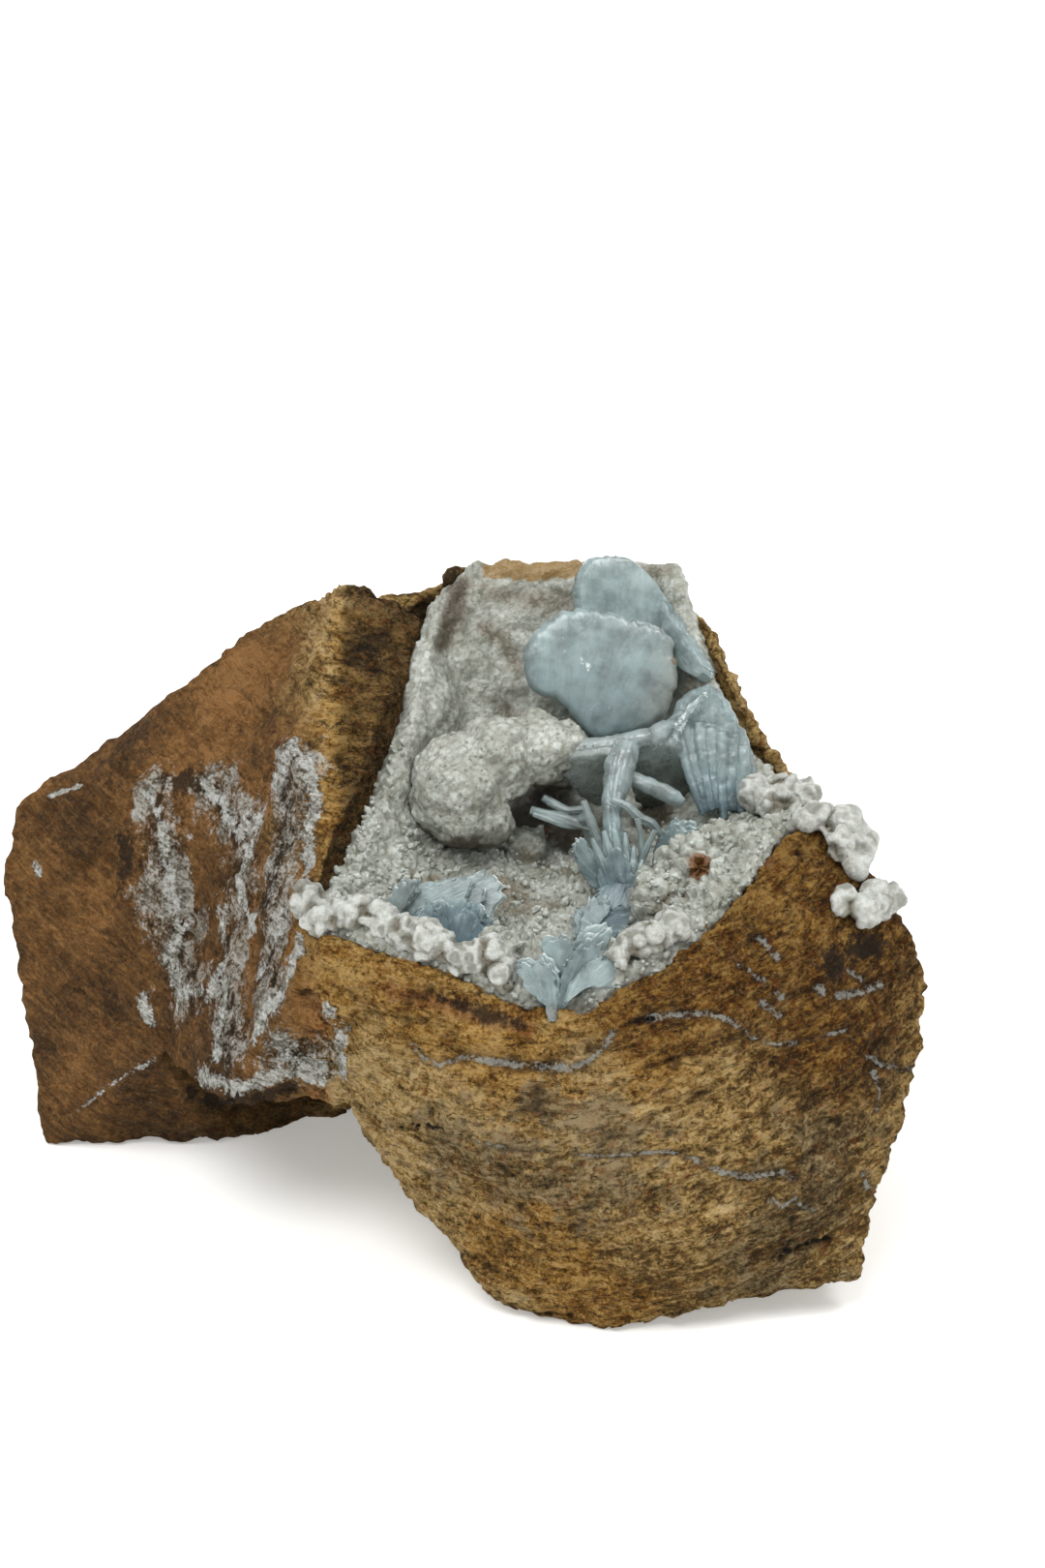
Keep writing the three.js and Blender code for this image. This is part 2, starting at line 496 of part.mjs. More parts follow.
// Room for a piece and the gap round it. The matrix only meets the others on the side that faces
// the opening, so its room is the matrix itself, moved that way by the gap.
function roomFor(piece, solid) {
  if (piece !== MATRIX_PIECE) return piece.make(FIT_GAP);
  return solid.translate(...OPENING.clone().multiplyScalar(FIT_GAP));
}

const specimen = new THREE.Group();
let taken = null;
for (const piece of PIECES) {
  const whole = piece.make(0);
  const solid = largestBody(taken && piece !== MATRIX_PIECE ? whole.subtract(taken) : whole);
  const mesh = new THREE.Mesh(geometryOf(solid), MATERIALS[piece.material]);
  mesh.name = piece.name;
  specimen.add(mesh);
  const room = roomFor(piece, solid);
  taken = taken ? taken.add(room) : room;
}

// The origin is under the middle of the box that holds the specimen.
const box = new THREE.Box3().setFromObject(specimen);
const middle = box.getCenter(new THREE.Vector3());
for (const mesh of specimen.children) mesh.geometry.translate(-middle.x, -middle.y, -box.min.z);

export default specimen;
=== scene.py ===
"""Blue barite on an iron-stained matrix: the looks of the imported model, in one studio picture.

Sizes and places are in millimetres in the lists below and in metres in the scene. The specimen
stands on Z = 0 and its hollow opens to the front, which faces -Y.
"""
import math
from dataclasses import dataclass
from types import SimpleNamespace

import bmesh
import bpy
import numpy as np
from mathutils import Matrix, Vector, noise
from mathutils.bvhtree import BVHTree
from mathutils.kdtree import KDTree


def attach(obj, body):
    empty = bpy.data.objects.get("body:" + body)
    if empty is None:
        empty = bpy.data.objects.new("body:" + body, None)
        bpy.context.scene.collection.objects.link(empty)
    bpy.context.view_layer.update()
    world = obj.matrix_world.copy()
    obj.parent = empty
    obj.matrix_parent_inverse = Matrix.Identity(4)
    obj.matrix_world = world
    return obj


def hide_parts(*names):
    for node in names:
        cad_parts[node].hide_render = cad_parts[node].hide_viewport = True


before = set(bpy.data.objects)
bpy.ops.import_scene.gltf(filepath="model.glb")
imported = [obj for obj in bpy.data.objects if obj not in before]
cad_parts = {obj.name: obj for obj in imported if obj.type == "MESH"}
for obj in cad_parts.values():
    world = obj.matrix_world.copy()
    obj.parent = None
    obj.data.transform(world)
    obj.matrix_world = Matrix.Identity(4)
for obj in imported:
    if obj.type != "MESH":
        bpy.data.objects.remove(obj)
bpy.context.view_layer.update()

MM = 0.001
CENTRE = np.array((1.5463, -0.7038, 0))  # is added to the places of crystals, rods and lumps
scene = bpy.context.scene


def add_object(name, data):
    added = bpy.data.objects.new(name, data)
    scene.collection.objects.link(added)
    return added


# Picture and camera
PICTURE_WIDTH = 1080
PICTURE_HEIGHT = 1620
LENS = 90
SENSOR = 36
CAMERA_PLACE = (8.546, -428.504, 229.5)
CAMERA_TILT = 67.4  # degrees up from straight down
VIEW_END = 20  # metres


def make_camera():
    data = bpy.data.cameras.new("camera")
    data.lens = LENS
    data.sensor_width = SENSOR
    data.clip_end = VIEW_END
    scene.camera = add_object("camera", data)
    scene.camera.location = Vector(CAMERA_PLACE) * MM
    scene.camera.rotation_euler = (math.radians(CAMERA_TILT), 0, 0)
    return scene.camera


camera = make_camera()


def sight(pixel):
    """The way from the camera through a pixel of the photograph."""
    across = (pixel[0] - PICTURE_WIDTH / 2) / PICTURE_HEIGHT * SENSOR
    up = (PICTURE_HEIGHT / 2 - pixel[1]) / PICTURE_HEIGHT * SENSOR
    return camera.rotation_euler.to_matrix() @ Vector((across, up, -LENS)).normalized()


def on_plane(pixel, place, face):
    """Where the sight through a pixel meets the plane through a place that faces a given way."""
    start = np.array(camera.location) / MM
    way = np.array(sight(pixel))
    return start + way * (np.dot(place - start, face) / np.dot(way, face))


def unit(vector):
    return np.asarray(vector, dtype=float) / np.linalg.norm(vector)


# Random relief. Places are arrays of points in millimetres, and each seed gives its own pattern.
def seed_shift(seed):
    return Vector((17.3 * seed, 5.1 * seed, 29.7 * seed))


def swells(places, length, octaves, seed):
    """Soft heights between about -1 and 1, whose swells are about `length` long."""
    shift = seed_shift(seed)
    return np.array([noise.fractal(Vector(p) / length + shift, 1, 2, octaves) for p in places])


def cell_distances(places, size, seed):
    """Each place's distances to the middles of the two nearest cells, measured in cells."""
    shift = seed_shift(seed)
    return np.array([noise.voronoi(Vector(p) / size + shift)[0][:2] for p in places]).T


def grains(places, size, seed):
    """Rounded grains side by side: 1 on top of each grain and 0 in the creases between them."""
    nearest, second = cell_distances(places, size, seed)
    return np.sqrt(np.clip(1.3 * (second - nearest), 0, 1))


def domes(places, size, seed):
    """Round lumps side by side: 1 on top of each lump, falling to about 0 between them."""
    nearest = cell_distances(places, size, seed)[0]
    return np.sqrt(np.clip(1 - 1.7 * nearest**2, 0, 1))


def line_noise(values, seed):
    """Smooth random numbers between about -1 and 1 along a line."""
    return np.array([noise.noise(Vector((float(value), 7.7 * seed, 3.1))) for value in values])


def smooth_step(values, low, high):
    share = np.clip((values - low) / (high - low), 0, 1)
    return share * share * (3 - 2 * share)


def around(places, centre, reach, core):
    """1 within a core around a centre, and 0 beyond its reach."""
    return smooth_step(np.linalg.norm(places - centre, axis=1), reach, core)


def spots(places, centres, core_share):
    """1 in the cores of spots, which are a share of their reaches, and 0 outside all spots."""
    amount = np.zeros(len(places))
    for *centre, reach in centres:
        amount = np.maximum(amount, around(places, centre, reach, core_share * reach))
    return amount


# Shapes
class Shape:
    """Points in millimetres, the faces between them, and values kept on the points by name."""

    def __init__(self, points=(), faces=(), **values):
        self.points = np.empty((0, 3))
        self.faces = []
        self.values = {}
        if len(points):
            self.add(points, faces, **values)

    def add(self, points, faces, **values):
        first = len(self.points)
        self.points = np.vstack([self.points, points])
        self.faces += [tuple(number + first for number in face) for face in faces]
        for name in {**self.values, **values}:
            kept = self.values.get(name, np.zeros(first))
            new = np.broadcast_to(values.get(name, 0.0), len(points))
            self.values[name] = np.concatenate([kept, new])

    def mesh(self, name):
        mesh = bpy.data.meshes.new(name)
        mesh.from_pydata((self.points * MM).tolist(), [], self.faces)
        return mesh

    def piece(self, name, slot, material, crease_angle=None):
        """Makes the shape a shown piece that stands for the CAD node of that name."""
        mesh = self.mesh(name)
        mesh.materials.append(material)
        mesh.shade_smooth()
        if crease_angle:
            mesh.set_sharp_from_angle(angle=math.radians(crease_angle))
        for value_name, values in self.values.items():
            attribute = mesh.attributes.new(value_name, "FLOAT", "POINT")
            attribute.data.foreach_set("value", values.astype(np.float32))
        piece = add_object(name + "_visual", mesh)
        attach(piece, "root")
        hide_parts(name)


def refined(mesh, voxel, smoothing):
    """A mesh's surface in small even faces: its points, its normals and its faces."""
    copy = add_object("copy", mesh)
    remesh = copy.modifiers.new("even faces", "REMESH")
    remesh.mode = "VOXEL"
    remesh.voxel_size = voxel * MM
    copy.modifiers.new("rounding", "SMOOTH").iterations = smoothing
    evaluated = copy.evaluated_get(bpy.context.evaluated_depsgraph_get())
    fine = bpy.data.meshes.new_from_object(evaluated)
    bpy.data.objects.remove(copy)
    flat = np.empty((2, 3 * len(fine.vertices)), dtype=np.float32)
    fine.vertices.foreach_get("co", flat[0])
    fine.vertex_normals.foreach_get("vector", flat[1])
    points, normals = flat.reshape(2, -1, 3).astype(float)
    return points / MM, normals, [tuple(face.vertices) for face in fine.polygons]


def fine_surface(node, voxel, smoothing):
    return refined(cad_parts[node].data.copy(), voxel, smoothing)


def main_part(points, normals, faces):
    """A mesh's largest separate part, found by spreading each part's lowest point number."""
    faces = np.array(faces)
    starts, ends = faces.ravel(), np.roll(faces, 1, axis=1).ravel()
    part = np.arange(len(points))
    while (part[starts] != part[ends]).any():
        lowest = np.minimum(part[starts], part[ends])
        np.minimum.at(part, starts, lowest)
        np.minimum.at(part, ends, lowest)
        part = part[part]
    kept = part == np.bincount(part).argmax()
    numbers = np.cumsum(kept) - 1
    return points[kept], normals[kept], numbers[faces[kept[faces[:, 0]]]].tolist()


def with_lumps(node, lumps):
    """A CAD node's mesh with round lumps on it, each given by its place and radius."""
    joined = bmesh.new()
    joined.from_mesh(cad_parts[node].data)
    for *place, radius in lumps:
        at = Matrix.Translation(Vector(np.array(place) + CENTRE) * MM)
        bmesh.ops.create_icosphere(joined, subdivisions=3, radius=radius * MM, matrix=at)
    mesh = bpy.data.meshes.new(node)
    joined.to_mesh(mesh)
    joined.free()
    return mesh


def flowed_together(shape, voxel, smoothing):
    """The shape's solids grown into one. Each point keeps the values of the nearest old point."""
    points, normals, faces = refined(shape.mesh("parts"), voxel, smoothing)
    tree = KDTree(len(shape.points))
    for number, point in enumerate(shape.points):
        tree.insert(point, number)
    tree.balance()
    nearest = [tree.find(point)[1] for point in points]
    values = {name: kept[nearest] for name, kept in shape.values.items()}
    return Shape(points, faces, **values), normals


# Materials
class Value:
    """A number that a material works out at each point, for sums with other numbers."""

    def __init__(self, nodes, socket):
        self.nodes = nodes
        self.socket = socket

    def __add__(self, other):
        return self.nodes.math("ADD", self, other)

    def __sub__(self, other):
        return self.nodes.math("SUBTRACT", self, other)

    def __rsub__(self, other):
        return self.nodes.math("SUBTRACT", other, self)

    def __mul__(self, other):
        return self.nodes.math("MULTIPLY", self, other)

    def __abs__(self):
        return self.nodes.math("ABSOLUTE", self)


class Nodes:
    """A material with short ways to add its nodes. Their inputs are numbers, colours or sockets."""

    def __init__(self, name):
        self.material = bpy.data.materials.new(name)
        self.material.use_nodes = True
        self.tree = self.material.node_tree
        self.tree.nodes.clear()
        coordinates = self.add("ShaderNodeTexCoord")
        self.place = self.scaled(coordinates.outputs["Object"], 1 / MM)

    def add(self, kind, values=None, **settings):
        node = self.tree.nodes.new(kind)
        for name, value in settings.items():
            setattr(node, name, value)
        for name, value in (values or {}).items():
            self.feed(node.inputs[name], value)
        return node

    def feed(self, socket, value):
        if isinstance(value, Value):
            value = value.socket
        if isinstance(value, bpy.types.NodeSocket):
            self.tree.links.new(value, socket)
        elif isinstance(value, tuple) and socket.type == "RGBA":
            socket.default_value = (*value, 1)
        else:
            socket.default_value = value

    def value(self, name):
        return Value(self, self.add("ShaderNodeAttribute", attribute_name=name).outputs["Fac"])

    def math(self, operation, first, second=0.0):
        node = self.add("ShaderNodeMath", {0: first, 1: second}, operation=operation)
        return Value(self, node.outputs[0])

    def vector(self, operation, first, second=(0, 0, 0)):
        values = {0: first, 1: second}
        return self.add("ShaderNodeVectorMath", values, operation=operation).outputs[0]

    def scaled(self, vector, factor):
        values = {0: vector, "Scale": factor}
        return self.add("ShaderNodeVectorMath", values, operation="SCALE").outputs[0]

    def joined(self, x, y, z):
        return self.add("ShaderNodeCombineXYZ", {0: x, 1: y, 2: z}).outputs[0]

    def noise(self, size, place=None, detail=4.0, roughness=0.55, distortion=0.0):
        """Cloudy noise from 0 to 1, with patches about `size` mm across."""
        values = {
            "Vector": place or self.place,
            "Scale": 1 / size,
            "Detail": detail,
            "Roughness": roughness,
            "Distortion": distortion,
        }
        return Value(self, self.add("ShaderNodeTexNoise", values).outputs["Fac"])

    def step(self, value, low, high, start=0.0, end=1.0):
        """Turns smoothly from start to end while the value goes from low to high."""
        values = {"Value": value, "From Min": low, "From Max": high, "To Min": start, "To Max": end}
        node = self.add("ShaderNodeMapRange", values, interpolation_type="SMOOTHSTEP")
        return Value(self, node.outputs["Result"])

    def mix(self, share, first, second):
        node = self.add("ShaderNodeMix", {"Factor": share}, data_type="RGBA")
        self.feed(node.inputs[6], first)
        self.feed(node.inputs[7], second)
        return node.outputs[2]

    def layers(self, colour, *layers):
        """Lays further colours over a colour, each with its share."""
        for share, tint in layers:
            colour = self.mix(share, colour, tint)
        return colour

    def tones(self, value, colours):
        """A ramp of colours over the stops that all ramps share."""
        node = self.add("ShaderNodeValToRGB", {"Fac": value})
        while len(node.color_ramp.elements) < len(colours):
            node.color_ramp.elements.new(0.5)
        for element, stop, colour in zip(node.color_ramp.elements, TONE_STOPS, colours):
            element.position = stop
            element.color = (*colour, 1)
        return node.outputs["Color"]

    def pushed(self, place, push, amount):
        """The place, moved by a random colour's channels."""
        centred = self.vector("SUBTRACT", push, (0.5, 0.5, 0.5))
        return self.vector("ADD", place, self.scaled(centred, amount))

    def warped(self, place, size, amount):
        """The place, pushed about by noise so that patterns on it turn irregular."""
        values = {"Vector": place, "Scale": 1 / size, "Detail": 2.0}
        return self.pushed(place, self.add("ShaderNodeTexNoise", values).outputs["Color"], amount)

    def cells(self, size, place=None):
        """Small cells of random colours: the colour, its red and blue, and the distance inside."""
        values = {"Vector": place or self.place, "Scale": 1 / size}
        node = self.add("ShaderNodeTexVoronoi", values)
        colour = node.outputs["Color"]
        split = self.add("ShaderNodeSeparateColor", {"Color": colour})
        red, blue = (Value(self, split.outputs[channel]) for channel in ("Red", "Blue"))
        return colour, red, blue, Value(self, node.outputs["Distance"])

    def dots(self, size, share):
        """Small round dots, one in the given share of the cells."""
        _, red, _, distance = self.cells(size, self.warped(self.place, size, size * 0.6))
        return self.step(distance, 0.42, 0.28) * self.step(red, share + 0.05, share)

    def relief(self, *layers):
        """Relief from heights, each with its depth in mm and laid on the one before."""
        normal = None
        for height, depth in layers:
            inputs = {"Height": height, "Distance": depth * MM, "Strength": 1.0}
            node = self.add("ShaderNodeBump", inputs)
            if normal:
                self.feed(node.inputs["Normal"], normal)
            normal = node.outputs["Normal"]
        return normal

    def finish(self, **values):
        """Adds the surface shader with these values and closes the material."""
        shader_values = {name.replace("_", " "): value for name, value in values.items()}
        shader = self.add("ShaderNodeBsdfPrincipled", shader_values)
        self.add("ShaderNodeOutputMaterial", {"Surface": shader.outputs[0]})
        return self.material


# The rock's layers bend up at both sides. They lie level at LAYER_MIDDLE.
LAYER_MIDDLE = 8
LAYER_BEND = 0.006
LAYER_STRETCH = 3.5

# Each ramp runs from its darkest patches to its lightest.
FRONT_TONES = [(0.11, 0.060, 0.018), (0.37, 0.228, 0.070), (0.57, 0.37, 0.132), (0.70, 0.51, 0.25)]
GOLD_TONES = [(0.08, 0.033, 0.006), (0.27, 0.130, 0.023), (0.47, 0.245, 0.050), (0.64, 0.40, 0.13)]
GREY_TONES = [
    (0.042, 0.028, 0.013), (0.122, 0.087, 0.040), (0.230, 0.166, 0.082), (0.37, 0.28, 0.155),
]
PEAK_TONES = [
    (0.044, 0.018, 0.004), (0.142, 0.062, 0.011), (0.255, 0.125, 0.024), (0.41, 0.24, 0.065),
]
RED_TONES = [
    (0.060, 0.034, 0.017), (0.145, 0.074, 0.028), (0.250, 0.122, 0.038), (0.40, 0.20, 0.070),
]
# Painted shade: the ramp for the hollow's side wall and for surfaces that face down.
SHADE_TONES = [
    (0.018, 0.010, 0.003), (0.055, 0.032, 0.009), (0.105, 0.060, 0.017), (0.18, 0.105, 0.035),
]
CHALK_TONES = [(0.20, 0.185, 0.145), (0.52, 0.51, 0.445), (0.74, 0.74, 0.68), (0.90, 0.91, 0.87)]
FILM_TONES = [(0.13, 0.11, 0.08), (0.34, 0.31, 0.25), (0.55, 0.54, 0.48), (0.74, 0.74, 0.69)]
TONE_STOPS = (0.16, 0.40, 0.60, 0.84)
RUST_TONES = [(0.07, 0.022, 0.008), (0.19, 0.062, 0.018), (0.30, 0.105, 0.030), (0.42, 0.20, 0.08)]
RUST = (0.22, 0.070, 0.015)
# Very dark brown: the dark of seams and of some marks, and painted shade in crevices, relief
# hollows, cracks and along veins.
DARK_SEAM_AND_SHADE = (0.026, 0.020, 0.014)
# Light tan: the colour of thin threads, and of painted highlights on the tops of the relief.
TAN_THREAD_AND_HIGHLIGHT = (0.46, 0.32, 0.15)
VEIN_WHITE = (0.45, 0.45, 0.40)


def layered_place(n):
    """The place along the rock's bent layers, with the distances across them stretched."""
    split = n.add("ShaderNodeSeparateXYZ", {0: n.place})
    x, y, z = (Value(n, split.outputs[axis]) for axis in "XYZ")
    off_middle = x - LAYER_MIDDLE
    across = (z - off_middle * off_middle * LAYER_BEND) * LAYER_STRETCH
    return n.joined(x, y, across)


def rock_patterns(n):
    """The patterns that the rock's colours and relief share, by name."""
    layered = layered_place(n)
    flattened = n.vector("MULTIPLY", n.place, (0.9, 1, 1.3))
    _, fleck, rusty_fleck, _ = n.cells(0.6, n.warped(flattened, 0.8, 1.0))
    return SimpleNamespace(
        clouds=n.noise(12),
        patches=n.noise(4, detail=6, roughness=0.7),
        streaks=n.noise(6, layered, detail=10, roughness=0.74, distortion=1.6),
        seams=n.noise(9, layered, detail=7, roughness=0.62, distortion=1.4),
        threads=n.noise(3.5, layered, detail=6, roughness=0.6, distortion=2.0),
        specks=n.noise(1.2, detail=6, roughness=0.78),
        shreds=n.noise(2.4, layered, detail=8, roughness=0.78, distortion=0.8),
        grit=n.noise(0.4, detail=3, roughness=0.75),
        fleck=fleck,
        rusty_fleck=rusty_fleck,
        calm=n.step(n.value("red"), 0, 1, 1, 0.55),
    )


def rock_tone(p):
    """The sum of all patterns around 0, from dark to light."""
    parts = [(p.streaks, 1.9), (p.patches, 1.3), (p.shreds, 1.6), (p.specks, 1.3), (p.grit, 1.5)]
    tone = (p.fleck - 0.5) * 0.22
    for part, strength in parts:
        tone += (part - 0.5) * strength
    return tone


def stone_colour(n, p, tone):
    """The stone: ramps of the same tone that take turns by region, the last two painted shade."""
    gold = n.value("gold") + (p.clouds - 0.44) * 4.0
    grey = n.value("grey") + (p.patches - 0.48) * 5.0
    rust = n.value("rust") + (p.specks - 0.5) * 2.0
    return n.layers(
        n.tones(tone, FRONT_TONES),
        (n.step(gold, -0.2, 0.6, 0, 0.9), n.tones(tone, GOLD_TONES)),
        (n.step(grey, 0.1, 0.9, 0, 0.8), n.tones(tone, GREY_TONES)),
        (n.value("peak"), n.tones(tone, PEAK_TONES)),
        (n.step(rust, 0.2, 0.9, 0, 0.75), n.tones(tone, RUST_TONES)),
        (n.value("red"), n.tones(tone, RED_TONES)),
        # painted shade on the hollow's side wall and on surfaces that face down
        (n.value("hollow_side_shade"), n.tones(tone, SHADE_TONES)),
        (n.step(n.value("shaded"), 0, 1, 0, 0.5), n.tones(tone, SHADE_TONES)),
    )


def rock_material():
    """Iron-stained rock in bent layers. Every value that make_rock gives its points tints it, some
    with painted light and shade.
    """
    n = Nodes("rock")
    p = rock_patterns(n)
    plain_tone = rock_tone(p)
    # lighter and darker regions, partly painted light and shade, and random clouds on the sides and
    # back
    tone = plain_tone * p.calm + n.value("light") * 0.14
    tone += (p.clouds - 0.5) * 1.3 * n.value("red")
    chalk_tone = plain_tone + 0.5

    # Painted shade in the crevices of the fine relief, where the bump's shreds are lowest.
    crevice_shade = n.step(p.shreds + p.grit * 0.5, 0.62, 0.53, 0, 0.75) * p.calm
    # Painted highlight: light tan flecks on the tops of the fine relief, where specks and grit
    # stand highest.
    relief_top_highlight = n.step(p.specks + p.grit * 0.6, 0.92, 1.02, 0, 0.5) * p.calm
    rusty = n.step(p.rusty_fleck, 0.80, 0.92, 0, 0.45) * p.calm
    thread = n.step(abs(p.threads - 0.56), 0.016, 0.004, 0, 0.5) * p.calm
    seam = n.step(abs(p.seams - 0.5) + p.specks * 0.02, 0.022, 0.010, 0, 0.85) * p.calm
    ragged = p.specks * 1.2 + p.grit - 1.1
    upright = n.vector("MULTIPLY", n.place, (1, 1, 0.4))
    torn = ragged + (n.noise(3.0, upright, detail=6, roughness=0.75) - 0.5) * 4.0
    crust = n.step(n.value("chalk") + torn, 0.22, 0.55)
    line = n.value("vein") + ragged * 2.2
    colour = n.layers(
        stone_colour(n, p, tone + 0.5),
        (crevice_shade, DARK_SEAM_AND_SHADE),
        (relief_top_highlight, TAN_THREAD_AND_HIGHLIGHT),
        (rusty, RUST),
        (thread, TAN_THREAD_AND_HIGHLIGHT),
        (seam, DARK_SEAM_AND_SHADE),
        # painted shade in the hollows of the relief
        (n.value("hollow_shade") * 0.75, DARK_SEAM_AND_SHADE),
        # dark patches, and painted shade in the crevice by the crust and under the keel
        (n.step(n.value("dark") - torn * 0.8, 0.3, 0.8, 0, 0.85), DARK_SEAM_AND_SHADE),
        (n.step(n.value("film") + torn * 1.6, 0.0, 0.7, 0, 0.85), n.tones(chalk_tone, FILM_TONES)),
        (crust * 0.95, n.tones(chalk_tone, CHALK_TONES)),
        # a dark band along each vein's edges: partly its dark outline, partly painted shadow of a
        # crack
        (n.step(line, -0.5, 0.1, 0, 0.45), DARK_SEAM_AND_SHADE),
        (n.step(line, 0.15, 0.6, 0, 0.85), VEIN_WHITE),
        # painted shade in the cracks
        (n.step(n.value("crack") + ragged * 0.8, 0.2, 0.55), DARK_SEAM_AND_SHADE),
    )
    return n.finish(
        Base_Color=colour,
        Roughness=n.step(p.specks, 0.3, 0.7, 0.95, 0.68),
        Specular_IOR_Level=0.12,
        Normal=n.relief(
            (p.streaks, 0.8), (p.shreds, 0.9), (p.specks, 0.8), (p.grit, 0.25),
            (seam, -0.25), (crust, 0.2),
        ),
    )


QUARTZ_GREY = (0.40, 0.427, 0.372)
QUARTZ_WHITE = (0.60, 0.635, 0.575)
NODULE_GREY = (0.29, 0.30, 0.262)
NODULE_WHITE = (0.56, 0.58, 0.54)
DUST = (0.155, 0.128, 0.082)
PEPPER = (0.10, 0.085, 0.055)
PIT_BROWN = (0.17, 0.075, 0.02)
CAP_BROWN = (0.15, 0.070, 0.004)
CAP_GOLD = (0.33, 0.195, 0.022)
# Painted shade: the dark brown under the knob, on its underside and in the crevice by the rock.
PAINTED_SHADE_BROWN = (0.065, 0.048, 0.028)
FACET_SIZE = 0.45
FACET_TILT = 0.35


def crystal_grain_material(name, dark, light, roughness, crease_share):
    """Crystals grown together, tinted by crease, stain, pit, pepper, cap and rim, and by painted
    shade.
    """
    n = Nodes(name)
    clouds = n.noise(5)
    specks = n.noise(0.8, roughness=0.7)
    grit = n.noise(0.3, detail=2)
    lightness = n.step(clouds, 0.35, 0.65) + n.value("rim")
    stain = n.value("stain") * 0.65 + specks
    murk = n.value("murk") + specks * 0.5
    pit = n.value("pit") + specks * 0.6
    cap = n.value("cap") + specks * 0.6
    colour = n.layers(
        n.mix(n.step(lightness, 0, 1), dark, light),
        (n.step(specks, 0.35, 0.62, 0.45, 0), DUST),
        (n.step(n.value("crease") + specks * 0.5, 0.55, 1.15) * crease_share, DUST),
        (n.dots(0.6, 0.2) * n.value("pepper") * 0.6, PEPPER),
        (n.step(stain, 0.75, 1.2, 0, 0.9), DUST),
        # painted shade
        (n.step(murk, 0.4, 1.1, 0, 0.9), PAINTED_SHADE_BROWN),
        (n.step(pit, 0.7, 0.9), PIT_BROWN),
        (n.step(cap, 0.7, 1.1, 0, 0.9), n.mix(clouds, CAP_BROWN, CAP_GOLD)),
    )
    tilts, *_ = n.cells(FACET_SIZE)
    facets = n.pushed(n.relief((specks, 0.22), (grit, 0.08)), tilts, FACET_TILT)
    return n.finish(
        Base_Color=colour,
        Roughness=roughness,
        Normal=n.vector("NORMALIZE", facets),
        IOR=1.54,
        Transmission_Weight=0.12,
        Subsurface_Weight=0.25,
        Subsurface_Radius=(1.0, 0.95, 0.85),
        Subsurface_Scale=0.8 * MM,
    )


BARITE_PALE = (0.375, 0.475, 0.468)
BARITE_BLUE = (0.15, 0.245, 0.285)
BARITE_MILKY = (0.43, 0.48, 0.455)
# Frosty white, also used for painted highlights on rims and glints.
BARITE_FROST_AND_HIGHLIGHT = (0.70, 0.74, 0.72)
BARITE_DUST = (0.36, 0.34, 0.27)
# Painted shade on barite in the dark parts of the hollow.
BARITE_SHADE = (0.085, 0.09, 0.068)
BARITE_RUST = (0.25, 0.18, 0.085)
FIBRE_STRETCH = 0.12


def barite_material():
    """Pale clear crystal. The values deep, milky, edge, dusty and rusty tint it, and another paints
    shade.

    Its fibres run along the value `along` and lie side by side over the value `across`, both in mm.
    The value `fibrous` says how clearly they show, and the value `plate` sets plates apart.
    """
    n = Nodes("barite")
    clouds = n.noise(3.5, roughness=0.6)
    specks = n.noise(0.7, roughness=0.7)
    flaws = n.noise(1.8, detail=5, roughness=0.7, distortion=1.5)
    fibre_place = n.joined(n.value("across"), n.value("along") * FIBRE_STRETCH, n.value("plate"))
    fibres = n.noise(0.45, fibre_place, detail=5, roughness=0.65, distortion=0.3)
    fibres = (fibres - 0.5) * n.value("fibrous") + 0.5
    deep = n.value("deep") + n.step(clouds, 0.3, 0.7, -0.05, 0.05)
    deep += n.step(fibres, 0.35, 0.65, 0.25, -0.25)
    milky = n.value("milky") + n.step(clouds, 0.35, 0.7, -0.1, 0.1)
    # frost, and painted highlights on rims and glints from the value edge
    frost_and_highlight = n.value("edge") + n.step(specks, 0.35, 0.7, -0.4, 0.4)
    frost_and_highlight += n.step(fibres, 0.5, 0.75, 0, 0.5)
    white = n.math("MAXIMUM", n.step(frost_and_highlight, 0.5, 1.0, 0, 0.85), n.step(flaws, 0.62, 0.70, 0, 0.25))
    colour = n.layers(
        n.mix(n.step(deep, 0.15, 1.0), BARITE_PALE, BARITE_BLUE),
        (n.step(milky, 0.1, 0.9), BARITE_MILKY),
        (white, BARITE_FROST_AND_HIGHLIGHT),
        (n.step(n.value("dusty") + specks * 0.6, 0.6, 1.1, 0, 0.6), BARITE_DUST),
        # painted shade
        (n.value("murk"), BARITE_SHADE),
        (n.step(n.value("rusty") + specks * 0.6, 0.8, 1.1, 0, 0.8), BARITE_RUST),
    )
    return n.finish(
        Base_Color=colour,
        Roughness=n.step(specks, 0.3, 0.7, 0.08, 0.22) + n.step(milky, 0.2, 0.9, 0, 0.14),
        Normal=n.relief((flaws, 0.05), (fibres, 0.28), (specks, 0.03)),
        IOR=1.64,
        Transmission_Weight=n.step(clouds, 0.35, 0.7, 0.35, 0.7) * (1.0 - white),
        Subsurface_Weight=0.2,
        Subsurface_Radius=(0.8, 1.0, 1.1),
        Subsurface_Scale=1.2 * MM,
    )


